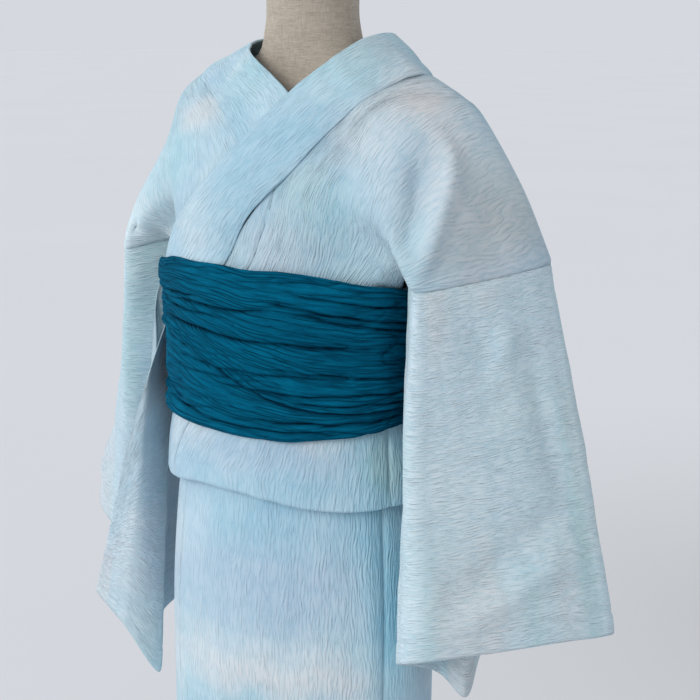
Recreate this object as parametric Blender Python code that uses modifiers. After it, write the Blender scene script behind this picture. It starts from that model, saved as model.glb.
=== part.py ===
"""Cotton yukata robe with its belt, worn on a limbless dress form.

Metres, +Z up. The wearer faces -Y, the wearer's left is +X, and the origin is on
the floor, on the axis of the stand.

Every cloth piece is an open surface with a Solidify wall. The robe from the hem to
the chest lies on one ring table, a half width and a half depth at each height, and
each layer is that ring moved out. Above the belt, the body panels run on over the
shoulders to the armhole seams, and the sleeves hang from there.
"""
import bpy
import numpy as np

# ---- driving sizes ----------------------------------------------------------
WALL = 0.0014            # cloth wall
BAND_WALL = 0.0022       # folded collar band
BELT_WALL = 0.0018
SEAM_GAP = 0.0004        # between the edges of two sewn pieces
HEM_Z = 0.065            # hem above the floor
FOLD_Z = 0.972           # lower fold of the waist tuck, at the front
WAIST_Z = 1.075          # upper fold of the waist tuck, under the belt
BELT_JOIN_Z = 1.165      # where the wrapped rows end, under the belt
BELT_TOP_Z = 1.186       # at the front
BELT_LOW_Z = 1.030       # at the front
ARMHOLE_GAP = 0.0012     # between a sleeve's top and the body's edge, in height
COLLAR_GAP = 0.0013      # between the collar's seam edge and the body
SEAM_TURN = 0.20         # degrees from a seam's line to each panel's edge
NECK_Y = 0.021           # neck axis behind the stand's axis
COLLAR_COLUMNS = 4
COLLAR_ROWS = 45
BODY_COLUMNS = 10
BODY_ROWS = 19           # from belt to belt over the shoulder, half a table row apart

# Garment ring at each height: half width, half depth of the innermost layer.
RING = np.array([
    # z,     width, depth
    (0.065, 0.1400, 0.1000),
    (0.350, 0.1440, 0.1030),
    (0.700, 0.1440, 0.1035),
    (0.880, 0.1420, 0.1020),
    (0.960, 0.1340, 0.0940),
    (1.020, 0.1250, 0.0870),
    (1.080, 0.1210, 0.0830),
    (1.160, 0.1230, 0.0860),
    (1.205, 0.1330, 0.0945),
    (1.234, 0.1400, 0.0935),
    (1.262, 0.1450, 0.0870),
    (1.297, 0.1470, 0.0710),
    (1.340, 0.1480, 0.0455),
    (1.375, 0.1480, 0.0250),
])

# Layers of cloth, outward from the ring, at the front. The left side laps over.
# The two sides are tucked together, so at the waist their order turns about.
LAYERS = {
    # name:        right,  left
    "skirt":      (0.0000, 0.0032),
    "tuck_inner": (0.0098, 0.0065),
    "tuck_outer": (0.0130, 0.0163),
    "chest":      (0.0015, 0.0080),
}
LAP_LIFT = 0.0040                    # between the two sides' tuck folds, in height
COLLAR_RAISE = 0.0034                # collar over the panel that it is sewn to
BELT_LAYER = 0.0230                  # inside of the belt, at the front
BELT_LAYER_BACK = 0.0160
BELT_TURN = 0.0026                   # second turn over the first
BELT_SIDES = 32

# Overlap panels (okumi): seam to the body panel and front edge, in degrees round
# from the front, by height. Above the belt the front edge is the collar's seam.
OVERLAP = np.array([
    # z,     left seam, left edge, right seam, right edge
    (0.065, -35.0, -86.0, 22.0, 52.0),
    (0.990, -35.0, -86.0, 22.0, 52.0),
    (1.045, -20.0, -86.0, 17.0, 50.0),
    (1.105,  -7.0, -45.0, 10.0, 40.0),
    (1.165,   7.0,  -6.0,  4.0, 28.0),
    (1.1935, 14.0,   2.6,  4.6, 23.0),
    (1.2220, 18.0,   9.2,  6.0, 16.0),
    (1.2460, 20.0,  16.0,  6.8, 10.0),
    (1.2620, 20.8,  20.8,  7.1,  7.1),
])

# Side edge of the front and the back panel, in degrees, by height.
SIDE_EDGE = np.array([
    # z,     degrees
    (0.065, 69.5),
    (0.800, 69.5),
    (0.960, 71.5),
    (1.080, 76.0),
    (1.160, 82.0),
    (1.200, 86.0),
])

# Upper body of the left panel, from the belt over the shoulder to the back.
# The seam is a place along the collar's stations, counted from its left end.
UPPER_ROWS = [
    # name,           seam,  chest edge x, z,  arm line x, y, z,
    #                 arm middle x, y, z,       armhole edge x, y, z
    ("front armpit",  None, (0.095, 1.220), (0.136, -0.050, 1.207),
                      (0.156, -0.052, 1.197), (0.163, -0.040, 1.187)),
    ("front fold",    5.00, (0.100, 1.254), (0.145, -0.066, 1.236),
                      (0.178, -0.078, 1.207), (0.196, -0.073, 1.178)),
    ("front arm",     6.00, (0.112, 1.289), (0.156, -0.058, 1.268),
                      (0.197, -0.052, 1.231), (0.222, -0.042, 1.183)),
    ("front collar",  8.00, (0.135, 1.329), (0.172, -0.026, 1.303),
                      (0.212, -0.010, 1.250), (0.243, 0.000, 1.189)),
    ("shoulder fold", 10.0, (0.150, 1.346), (0.179, 0.034, 1.323),
                      (0.219, 0.042, 1.261), (0.254, 0.045, 1.194)),
    ("back collar",   11.0, (0.138, 1.337), (0.165, 0.076, 1.305),
                      (0.206, 0.074, 1.251), (0.231, 0.078, 1.190)),
    ("back arm",      12.0, (0.110, 1.313), (0.155, 0.106, 1.275),
                      (0.185, 0.108, 1.232), (0.206, 0.104, 1.184)),
    ("back fold",     13.3, (0.075, 1.285), (0.140, 0.112, 1.244),
                      (0.170, 0.116, 1.208), (0.184, 0.112, 1.178)),
    ("back armpit",   None, (0.070, 1.240), (0.132, 0.082, 1.214),
                      (0.150, 0.080, 1.198), (0.158, 0.070, 1.187)),
]
RIGHT_SEAMS = [None, 22.0, 20.9, 19.4, 18.0, 17.0, 16.0, 14.7, None]
CENTRE_BACK_STATION = 14.0
POINT_ROW = 1.8                      # where the overlap panel ends, counted in rows
NAPE_ROW = 8.6                       # where the collar meets the centre back seam
RIGHT_ARM_SHIFT = (-0.014, 0.016)    # the right arm hangs in and back of the left's

# Collar on the left front, from its lower end under the belt to the neck.
# inner = free edge towards the neck, outer = seam to the front.
LEFT_COLLAR = [
    # inner x, z,      outer x, z
    ((-0.122, 1.110), (-0.056, 1.082)),
    ((-0.118, 1.130), (-0.045, 1.105)),
    ((-0.106, 1.172), (-0.018, 1.155)),
    ((-0.083, 1.207), (0.005, 1.190)),
    ((-0.050, 1.240), (0.030, 1.232)),
    ((-0.010, 1.284), (0.061, 1.266)),
    ((0.020, 1.318), (0.084, 1.299)),
]
# Round the neck, wearer's left to the centre back.
NECK_COLLAR = [
    # inner x, y, z,          outer x, y, z
    ((0.038, -0.053, 1.341), (0.101, -0.048, 1.322)),
    ((0.058, -0.034, 1.363), (0.116, -0.033, 1.340)),
    ((0.072, -0.010, 1.381), (0.126, -0.006, 1.352)),
    ((0.078, 0.020, 1.391), (0.130, 0.022, 1.3575)),
    ((0.074, 0.050, 1.390), (0.112, 0.062, 1.349)),
    ((0.054, 0.081, 1.383), (0.074, 0.096, 1.333)),
    ((0.028, 0.098, 1.377), (0.040, 0.112, 1.320)),
    ((0.000, 0.103, 1.375), (0.000, 0.117, 1.3145)),
]
# The right half, from the centre back to its end under the left front.
RIGHT_NECK_COLLAR = [
    ((-0.028, 0.098, 1.377), (-0.040, 0.112, 1.320)),
    ((-0.050, 0.081, 1.382), (-0.074, 0.096, 1.333)),
    ((-0.064, 0.050, 1.386), (-0.112, 0.062, 1.349)),
    ((-0.061, 0.019, 1.386), (-0.130, 0.022, 1.3575)),
    ((-0.047, -0.014, 1.381), (-0.112, -0.016, 1.352)),
    ((-0.026, -0.034, 1.371), (-0.080, -0.042, 1.342)),
]
RIGHT_COLLAR = [
    ((0.034, 1.338), (-0.014, 1.303)),
    ((0.066, 1.302), (0.018, 1.262)),
    ((0.092, 1.258), (0.044, 1.214)),
]

# Sleeves. Each hangs from the armhole edge of the body; the table gives where each
# row of that edge ends at the wrist, then the stations of the hanging bag, from the
# back of the armhole round to its front.
# out = from the middle of the wearer, back = behind the stand's axis.
LEFT_WRIST = [
    # name,            out, back, z
    ("front armpit",   0.182, -0.076, 0.840),
    ("front fold",     0.214, -0.094, 0.856),
    ("front arm",      0.262, -0.044, 0.862),
    ("front collar",   0.298, 0.012, 0.864),
    ("shoulder fold",  0.316, 0.060, 0.861),
    ("back collar",    0.292, 0.088, 0.864),
    ("back arm",       0.262, 0.112, 0.862),
    ("back fold",      0.214, 0.130, 0.852),
    ("back armpit",    0.184, 0.110, 0.838),
]
LEFT_BAG = [
    # name,            top out, back, z,       wrist out, back, z
    ("inner back",     (0.160, 0.044, 1.150), (0.176, 0.066, 0.806)),
    ("bottom seam",    (0.200, 0.018, 1.105), (0.200, 0.006, 0.785)),
    ("inner front",    (0.161, -0.006, 1.150), (0.172, -0.004, 0.806)),
]
RIGHT_WRIST = [
    ("front armpit",   0.197, -0.030, 0.838),
    ("front fold",     0.221, -0.036, 0.866),
    ("front arm",      0.257, -0.026, 0.870),
    ("front collar",   0.290, -0.010, 0.878),
    ("shoulder fold",  0.314, 0.018, 0.879),
    ("back collar",    0.292, 0.062, 0.862),
    ("back arm",       0.258, 0.096, 0.860),
    ("back fold",      0.208, 0.098, 0.842),
    ("back armpit",    0.188, 0.070, 0.810),
]
RIGHT_BAG = [
    ("inner wall",     (0.159, -0.002, 1.145), (0.170, -0.036, 0.786)),
    ("bag turn",       (0.152, -0.026, 1.118), (0.159, -0.050, 0.728)),
    ("bag front",      (0.134, -0.076, 1.060), (0.185, -0.074, 0.782)),
    ("bottom seam",    (0.178, -0.066, 0.977), (0.238, -0.064, 0.804)),
    ("bag back",       (0.159, -0.045, 1.061), (0.219, -0.050, 0.797)),
    ("behind the bag", (0.163, -0.036, 1.130), (0.204, -0.032, 0.785)),
]
BAG_SAMPLES = 19

# Dress form: half width, half depth and centre behind the axis, by height.
FORM = [
    # z,    width,  depth,  behind
    (0.780, 0.118, 0.078, 0.000),
    (0.800, 0.126, 0.085, 0.000),
    (0.900, 0.128, 0.087, 0.000),
    (1.000, 0.112, 0.076, 0.000),
    (1.080, 0.104, 0.068, 0.000),
    (1.170, 0.112, 0.074, 0.000),
    (1.230, 0.126, 0.080, 0.004),
    (1.280, 0.144, 0.068, 0.012),
    (1.312, 0.158, 0.054, 0.018),
    (1.332, 0.146, 0.046, 0.021),
    (1.350, 0.104, 0.041, 0.021),
    (1.370, 0.062, 0.041, 0.021),
    (1.395, 0.047, 0.043, 0.021),
    (1.440, 0.045, 0.043, 0.021),
    (1.480, 0.046, 0.044, 0.021),
]
NECK_TOP_Z = 1.480
FORM_SIDES = 26
CAP_HEIGHT = 0.012
POLE_RADIUS = 0.0150
FOOT_RADIUS = 0.170
FOOT_HEIGHT = 0.016
HUB_HEIGHT = 0.045

COLORS = {
    "robe": (0.62, 0.78, 0.83),
    "belt": (0.004, 0.110, 0.200),
    "linen": (0.62, 0.53, 0.43),
    "metal": (0.05, 0.05, 0.05),
    "wood": (0.33, 0.19, 0.10),
}


# ---- helpers ----------------------------------------------------------------
def clear_scene():
    for old in list(bpy.data.objects):
        bpy.data.objects.remove(old, do_unlink=True)


def make_material(name, color, roughness, metallic=0.0):
    material = bpy.data.materials.new(name)
    material.use_nodes = True
    shader = material.node_tree.nodes["Principled BSDF"]
    shader.inputs["Base Color"].default_value = (*color, 1.0)
    shader.inputs["Roughness"].default_value = roughness
    shader.inputs["Metallic"].default_value = metallic
    return material


def table(rows, at, column):
    """Read one column of a table at the heights `at`, smoothly between its rows."""
    rows = np.asarray(rows, float)
    z, v = rows[:, 0], rows[:, column]
    slope = np.gradient(v, z)
    at = np.clip(at, z[0], z[-1])
    i = np.clip(np.searchsorted(z, at) - 1, 0, len(z) - 2)
    step = z[i + 1] - z[i]
    u = (at - z[i]) / step
    rise = (1 + 2 * u) * (1 - u) ** 2 * v[i] + u * u * (3 - 2 * u) * v[i + 1]
    return rise + step * u * (1 - u) * ((1 - u) * slope[i] - u * slope[i + 1])


def smooth(low, high, value):
    u = np.clip((value - low) / (high - low), 0.0, 1.0)
    return u * u * (3.0 - 2.0 * u)


def curve_through(points, count, closed=False):
    """Catmull-Rom curve through points (n, ..., 3), read at `count` even steps."""
    p = np.asarray(points, float)
    if closed:
        p = np.concatenate([p[-1:], p, p[:2]])
        spans = len(p) - 3
        t = np.arange(count) * spans / count
    else:
        p = np.concatenate([2 * p[:1] - p[1:2], p, 2 * p[-1:] - p[-2:-1]])
        spans = len(p) - 3
        t = np.linspace(0.0, spans, count)
    i = np.minimum(t.astype(int), spans - 1)
    u = (t - i).reshape((-1,) + (1,) * (p.ndim - 1))
    a, b, c, d = p[i], p[i + 1], p[i + 2], p[i + 3]
    return 0.5 * (2 * b + (c - a) * u + (2 * a - 5 * b + 4 * c - d) * u ** 2
                  + (3 * b - a - 3 * c + d) * u ** 3)


def ring(degrees, z, out):
    """Point on the garment ring at an angle from the front, moved out by `out`."""
    degrees, z, out = np.broadcast_arrays(*(np.asarray(v, float) for v in (degrees, z, out)))
    turn = np.radians(degrees)
    x = (table(RING, z, 1) + out) * np.sin(turn)
    y = -(table(RING, z, 2) + out) * np.cos(turn)
    return np.stack([x, y, z], -1)


def on_chest(x, z, out):
    """Front point of the garment ring at a given x and z, moved out by `out`."""
    half_width = table(RING, z, 1) + out
    share = np.clip(x / half_width, -0.98, 0.98)
    return np.array([x, -(table(RING, z, 2) + out) * np.sqrt(1.0 - share ** 2), z])


def mirrored(points, side):
    return points * np.array([side, 1.0, 1.0])


def add_object(name, mesh, material, parts):
    obj = bpy.data.objects.new(name, mesh)
    obj.data.materials.append(material)
    parts.objects.link(obj)
    return obj


def sheet(name, grid, material, parts, wall=WALL, closed=False, flip=False):
    """Cloth piece: a grid of points (rows, columns, 3) with a wall both ways."""
    rows, columns = grid.shape[:2]
    index = np.arange(rows * columns).reshape(rows, columns)
    if closed:
        index = np.concatenate([index, index[:, :1]], axis=1)
    quads = np.stack([index[:-1, :-1], index[:-1, 1:], index[1:, 1:], index[1:, :-1]], -1)
    if flip:
        quads = quads[..., ::-1]
    mesh = bpy.data.meshes.new(name)
    mesh.from_pydata(grid.reshape(-1, 3).tolist(), [], quads.reshape(-1, 4).tolist())
    obj = add_object(name, mesh, material, parts)
    mesh.shade_smooth()
    solid = obj.modifiers.new("wall", "SOLIDIFY")
    solid.thickness = wall
    solid.offset = 0.0
    solid.use_even_offset = True
    return obj


# ---- layers -----------------------------------------------------------------
def lap(left, degrees):
    """1 where the other side's front lies with this one, 0 at the back.

    Degrees run from the front towards the panel's own side.
    """
    return smooth(72.0, 61.0, degrees) if left else smooth(105.0, 90.0, degrees)


def layer(name, left, degrees):
    """Distance out from the ring; the left side's layers join the right's at the back."""
    right_out, left_out = LAYERS[name]
    if not left:
        return np.full_like(degrees, right_out)
    return right_out + (left_out - right_out) * lap(True, degrees)


def chest_out(z, left):
    """Above the belt, the layers settle from their place at the waist to the chest."""
    chest = LAYERS["chest"][int(left)]
    waist = LAYERS["tuck_outer"][int(left)]
    return chest + (waist - chest) * smooth(1.205, 1.168, z)


def fold_drop(degrees):
    """The tuck's lower fold dips a little towards the sides and waves slightly."""
    dip = 0.007 * smooth(0.0, 80.0, np.abs(degrees))
    return 0.003 * np.cos(np.radians(4 * degrees)) - dip


# ---- collar curves ----------------------------------------------------------
def collar_stations():
    """Free edge and seam edge of the collar at each station, left end to right end."""
    pairs = []
    for left, stations in ((True, LEFT_COLLAR), (False, RIGHT_COLLAR)):
        rows = []
        for pair in stations:
            rows.append([on_chest(x, z, chest_out(z, left) + COLLAR_RAISE) for x, z in pair])
        pairs.append(rows)
    stations = pairs[0] + NECK_COLLAR + RIGHT_NECK_COLLAR + pairs[1]
    return np.array(stations)


def along(stations, at):
    """Points on the Catmull-Rom curve through the stations at fractional places."""
    steps = 40
    fine = curve_through(stations, (len(stations) - 1) * steps + 1)
    at = np.asarray(at, float) * steps
    low = np.clip(at.astype(int), 0, len(fine) - 2)
    share = (at - low)[:, None]
    return fine[low] * (1 - share) + fine[low + 1] * share


# ---- robe body --------------------------------------------------------------
def wrapped_rows(degrees_at, left, belt_rows=6):
    """Rows of a panel from the hem up under the belt, with its waist tuck.

    The cloth goes up the skirt to the waist, turns down inside the tuck, turns up
    again at the tuck's lower fold and carries on up under the belt.
    """
    rows = []

    def add(z, first, second=None, wave=0.0, lifted=0.0):
        degrees = degrees_at(z)
        out = layer(first, left, degrees)
        if second:
            out = 0.5 * (out + layer(second, left, degrees))
        height = z + wave * fold_drop(degrees) + lifted * lap(left, degrees)
        rows.append(ring(degrees, height, out))

    lower_lift = 0.0 if left else LAP_LIFT
    upper_lift = -LAP_LIFT if left else 0.0
    for z in (HEM_Z, 0.30, 0.56, 0.78, 0.92, 1.00):
        add(z, "skirt")
    add(WAIST_Z - 0.004, "skirt", lifted=upper_lift)
    add(WAIST_Z, "skirt", "tuck_inner", lifted=upper_lift)
    add(WAIST_Z - 0.004, "tuck_inner", lifted=upper_lift)
    add(FOLD_Z + 0.0025, "tuck_inner", wave=1.0, lifted=lower_lift)
    add(FOLD_Z, "tuck_inner", "tuck_outer", wave=1.0, lifted=lower_lift)
    add(FOLD_Z + 0.0025, "tuck_outer", wave=1.0, lifted=lower_lift)
    add(FOLD_Z + 0.030, "tuck_outer", wave=0.5)
    for z in np.linspace(1.045, BELT_JOIN_Z, belt_rows):
        add(z, "tuck_outer")
    return rows


def arm_points(row, left):
    """Arm line, arm middle and armhole edge of a row, in the left side's sense."""
    points = np.array(row[3:], float)
    if not left:
        # the shift grows towards the front of the arm
        share = smooth(0.06, -0.03, points[:, 1:2])
        points[:, :2] += share * np.array(RIGHT_ARM_SHIFT)
    return points


def inner_edge(at, left, collar):
    """Neck-side edge of the upper rows: overlap seam, collar seam, centre back.

    `at` counts the rows, 0 and 10 at the belt; points are in the left side's sense.
    """
    side = 1.0 if left else -1.0
    low_z = np.interp(at, [0.0, 1.0, POINT_ROW], [BELT_JOIN_Z, 1.222, 1.260])
    seam = side * np.interp(low_z, OVERLAP[:, 0], OVERLAP[:, 1 if left else 3])
    points = ring(seam + SEAM_TURN, low_z, chest_out(low_z, left))
    places = [row[1] for row in UPPER_ROWS] if left else RIGHT_SEAMS
    known = [(i + 1.0, place) for i, place in enumerate(places) if place is not None]
    first = np.interp(POINT_ROW, [1.0, 2.0], [places[1] - 0.30 * side, places[1]])
    rows, stations = zip(*([(POINT_ROW, first)] + known + [(NAPE_ROW, CENTRE_BACK_STATION)]))
    on_collar = along(collar[:, 1], np.interp(at, rows, stations)) * np.array([side, 1.0, 1.0])
    on_collar[:, 0] += SEAM_GAP
    back_z = np.interp(at, [NAPE_ROW, 9.0, 10.0], [collar[14, 1, 2], 1.250, BELT_JOIN_Z])
    ring_back = table(RING, BELT_JOIN_Z, 2) + LAYERS["tuck_outer"][0]
    back_y = np.interp(at, [NAPE_ROW, 9.0, 10.0], [collar[14, 1, 1], 0.113, ring_back])
    centre = np.stack([np.full_like(at, SEAM_GAP), back_y, back_z], -1)
    at = at[:, None]
    return np.where(at < POINT_ROW, points, np.where(at > NAPE_ROW, centre, on_collar))


def settle_on_chest(grid, left, raised=0.0, reach=0.095):
    """Lay the front's inner part on the chest ring, so that the layers stay nested."""
    x, y, z = np.moveaxis(grid, -1, 0)
    out = chest_out(z, left) + raised
    share = np.clip(x / (table(RING, z, 1) + out), -0.98, 0.98)
    chest_y = -(table(RING, z, 2) + out) * np.sqrt(1.0 - share ** 2)
    weight = smooth(reach + 0.03, reach, np.abs(x)) * smooth(1.345, 1.315, z) * (y < 0.0)
    grid[..., 1] = y + (chest_y - y) * weight
    return grid


def upper_body(left, collar, front_top, back_top):
    """The panel over chest, shoulder and back: a smooth surface through its rows."""
    out = LAYERS["chest"][int(left)]
    edge = inner_edge(np.arange(1.0, 10.0), left, collar)
    control = [front_top]
    for number, row in enumerate(UPPER_ROWS):
        arm = arm_points(row, left)
        seam = edge[number]
        if row[0].startswith("front"):
            chest = on_chest(*row[2], out)
            halfway = on_chest(*(0.5 * (seam + chest))[[0, 2]], out)
        else:
            chest = seam + (arm[0] - seam) * 0.62 + np.array([0.0, 0.003, 0.002])
            halfway = seam + (arm[0] - seam) * 0.30 + np.array([0.0, 0.002, 0.001])
        across = np.array([seam, halfway, chest, *arm])
        control.append(curve_through(across, BODY_COLUMNS))
    control.append(back_top)
    at = np.linspace(0.0, 10.0, BODY_ROWS + 2)
    upper = curve_through(control, BODY_ROWS + 2)
    upper = settle_on_chest(upper, left)
    upper[:, 0] = inner_edge(at, left, collar)
    return upper[1:-1]


def body_panel(name, left, collar, material, parts):
    """Front and back of one side in one length, with no seam on the shoulder."""
    side = 1.0 if left else -1.0
    shares = np.linspace(0.0, 1.0, BODY_COLUMNS)

    def front_degrees(z):
        seam = side * np.interp(z, OVERLAP[:, 0], OVERLAP[:, 1 if left else 3]) + SEAM_TURN
        return seam + (table(SIDE_EDGE, z, 1) - SEAM_TURN - seam) * shares

    def back_degrees(z):
        return 180.0 - SEAM_TURN + (table(SIDE_EDGE, z, 1) + 2 * SEAM_TURN - 180.0) * shares

    front = wrapped_rows(front_degrees, left)
    back = wrapped_rows(back_degrees, left, belt_rows=3)
    upper = upper_body(left, collar, front[-1], back[-1])
    grid = np.concatenate([np.array(front), upper, np.array(back[::-1])])
    sheet(name, mirrored(grid, side), material, parts, flip=left)
    # the armhole edge: the last column between the two armpit rows
    return upper[1:-1, -1]


def overlap_panel(name, left, material, parts):
    """Overlap panel: from its seam to its front edge, up to a point at the collar."""
    side = 1.0 if left else -1.0
    column = 1 if left else 3
    shares = np.linspace(0.0, 1.0, 5)

    def degrees_at(z):
        seam = np.interp(z, OVERLAP[:, 0], OVERLAP[:, column]) - side * SEAM_TURN
        edge = np.interp(z, OVERLAP[:, 0], OVERLAP[:, column + 1])
        return side * (seam + (edge - seam) * shares)

    rows = wrapped_rows(degrees_at, left)
    for z in (1.1935, 1.208, 1.222, 1.234, 1.246, 1.254):
        rows.append(ring(degrees_at(z), z, chest_out(z, left)))
    sheet(name, mirrored(np.array(rows), side), material, parts, flip=not left)


def collar_band(collar, material, parts):
    """One folded band from the left front's end, round the neck, to the right's."""
    inner = curve_through(collar[:, 0], COLLAR_ROWS)[:, None]
    outer = curve_through(collar[:, 1], COLLAR_ROWS)[:, None]
    across = np.linspace(0.0, 1.0, COLLAR_COLUMNS)[None, :, None]
    trim = 1.0 - COLLAR_GAP / np.linalg.norm(outer - inner, axis=-1, keepdims=True)
    grid = inner + (outer - inner) * across * trim
    nape = round((COLLAR_ROWS - 1) * CENTRE_BACK_STATION / (len(collar) - 1))
    grid[:nape] = settle_on_chest(grid[:nape], True, COLLAR_RAISE, reach=0.130)
    grid[nape:] = settle_on_chest(grid[nape:], False, COLLAR_RAISE, reach=0.130)
    sheet("collar", grid, material, parts, wall=BAND_WALL)


# ---- sleeves ----------------------------------------------------------------
def sleeve(name, wrist_rows, bag, left, armhole, material, parts):
    """Closed bag: its top is the armhole edge and the stations of the hanging bag."""
    wrist = np.array([row[1:] for row in wrist_rows])
    arm_wrist = curve_through(wrist, len(armhole))
    arm_top = armhole - np.array([0.0, 0.0, ARMHOLE_GAP])

    def bag_curve(stations, edge):
        """Through the bag's stations, starting and ending along the armhole's edge."""
        ends = np.array([edge[-3], edge[-1], *stations, edge[0], edge[2]])
        fine = along(ends, np.linspace(1.0, len(ends) - 2.0, BAG_SAMPLES + 2))
        return fine[1:-1]

    top = np.concatenate([arm_top, bag_curve([row[1] for row in bag], arm_top)])
    low = np.concatenate([arm_wrist, bag_curve([row[2] for row in bag], arm_wrist)])
    share = np.linspace(0.0, 1.0, 7)[:, None, None]
    grid = top[None] * (1 - share) + low[None] * share
    side = 1.0 if left else -1.0
    sheet(name, mirrored(grid, side), material, parts, closed=True, flip=left)


# ---- belt -------------------------------------------------------------------
def belt_out(degrees):
    """Inside of the belt: further out over the laps, which reach the right side."""
    front = smooth(-118.0, -92.0, degrees) * smooth(84.0, 62.0, degrees)
    return BELT_LAYER_BACK + (BELT_LAYER - BELT_LAYER_BACK) * front


def belt_turn(name, low, high, turn, material, parts):
    """One turn of the belt between two heights that vary round the waist."""
    degrees = np.arange(BELT_SIDES) * 360.0 / BELT_SIDES - 180.0
    share = np.linspace(0.0, 1.0, 5)[:, None]
    z = low(degrees) * (1 - share) + high(degrees) * share
    bulge = 0.0012 * np.sin(np.pi * share)
    out = belt_out(degrees) + turn + bulge + BELT_WALL / 2
    # the belt keeps the waist's section at its middle, so it hangs upright
    level = np.clip(z, 1.03, 1.16)
    grid = ring(np.broadcast_to(degrees, z.shape), level, out + 0.0 * z)
    grid[..., 2] = z
    return sheet(name, grid, material, parts, wall=BELT_WALL, closed=True)


def belt_top(degrees):
    return BELT_TOP_Z - 0.019 * smooth(20.0, 90.0, np.abs(degrees))


def belt_low(degrees):
    return BELT_LOW_Z + 0.012 * smooth(20.0, 90.0, degrees)


def wrap_edge(degrees):
    """Lower edge of the upper turn: high at the wearer's right, low at the left."""
    return 1.060 + 0.058 * smooth(45.0, -45.0, degrees) - 0.03 * smooth(80.0, 170.0, np.abs(degrees))


def belt_knot(material, parts):
    """Flat knot at the centre back: an upright band that pinches the bow's loop."""
    back = table(RING, 1.10, 2) + BELT_LAYER_BACK + BELT_WALL + 0.006
    degrees = np.linspace(-1.0, 1.0, 9)
    z = np.linspace(1.045, 1.180, 8)
    flat, height = np.meshgrid(degrees, z)
    depth = back + 0.018 * np.sqrt(np.clip(1 - 0.85 * flat ** 2, 0, 1)) - 0.004
    grid = np.stack([-0.036 * flat, depth, height], -1)
    sheet("belt_knot", grid, material, parts, wall=BELT_WALL)
    for name, side in (("belt_tail_left", 1.0), ("belt_tail_right", -1.0)):
        share = np.linspace(0.0, 1.0, 9)[:, None]
        across = np.linspace(-1.0, 1.0, 5)[None]
        x = side * (0.030 + 0.010 * share) + 0.024 * across * (1 + 0.25 * share)
        y = back + 0.0045 + 0.010 * share + 0.002 * np.cos(np.pi * across) * share + 0 * x
        tail_z = 1.040 - 0.235 * share - 0.018 * side * across * share
        tail = np.stack(np.broadcast_arrays(x, y, tail_z), -1)
        sheet(name, tail, material, parts, wall=BELT_WALL, flip=True)


# ---- dress form and stand ---------------------------------------------------
def dress_form(material, parts):
    """Smooth limbless torso and neck: one loft of ellipses with closed ends."""
    rows = np.array(FORM)
    z = np.concatenate([[0.780, 0.788], np.linspace(0.80, 1.20, 7), np.linspace(1.23, 1.48, 13)])
    degrees = np.arange(FORM_SIDES) * 360.0 / FORM_SIDES
    turn = np.radians(degrees)[None]
    width, depth, behind = (table(rows, z, c)[:, None] for c in (1, 2, 3))
    grid = np.stack([width * np.sin(turn), behind - depth * np.cos(turn), z[:, None] + 0 * turn], -1)
    index = np.arange(grid.shape[0] * FORM_SIDES).reshape(-1, FORM_SIDES)
    index = np.concatenate([index, index[:, :1]], axis=1)
    quads = np.stack([index[:-1, :-1], index[:-1, 1:], index[1:, 1:], index[1:, :-1]], -1)
    caps = [index[0, :-1][::-1].tolist(), index[-1, :-1].tolist()]
    mesh = bpy.data.meshes.new("dress_form")
    mesh.from_pydata(grid.reshape(-1, 3).tolist(), [], quads.reshape(-1, 4).tolist() + caps)
    mesh.shade_smooth()
    add_object("dress_form", mesh, material, parts)


def turned(name, profile, material, parts, y=0.0, steps=40):
    """Turned piece: the profile runs down its outer side, axis to axis."""
    mesh = bpy.data.meshes.new(name)
    points = [(r, 0.0, z) for r, z in profile]
    mesh.from_pydata(points, [(i, i + 1) for i in range(len(points) - 1)], [])
    obj = add_object(name, mesh, material, parts)
    obj.location = (0.0, y, 0.0)
    screw = obj.modifiers.new("turn", "SCREW")
    screw.steps = screw.render_steps = steps
    screw.use_merge_vertices = True
    screw.merge_threshold = 0.0001
    return obj


def stand(wood, metal, parts):
    top = NECK_TOP_Z + SEAM_GAP
    turned("neck_cap", [(0, top + CAP_HEIGHT), (0.030, top + CAP_HEIGHT - 0.001),
                        (0.0405, top + CAP_HEIGHT - 0.005), (0.0420, top + 0.003),
                        (0.0415, top), (0, top)], wood, parts, y=NECK_Y)
    pole_low = HUB_HEIGHT + SEAM_GAP
    pole_top = FORM[0][0] - SEAM_GAP
    turned("pole", [(0, pole_top), (POLE_RADIUS, pole_top), (POLE_RADIUS, pole_low), (0, pole_low)],
           metal, parts, steps=24)
    turned("foot", [(0, HUB_HEIGHT), (0.022, HUB_HEIGHT), (0.026, HUB_HEIGHT - 0.004),
                    (0.028, FOOT_HEIGHT + 0.006), (0.034, FOOT_HEIGHT), (FOOT_RADIUS - 0.006, FOOT_HEIGHT - 0.004),
                    (FOOT_RADIUS, FOOT_HEIGHT - 0.008), (FOOT_RADIUS, 0.0), (0, 0.0)], metal, parts, steps=48)


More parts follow.
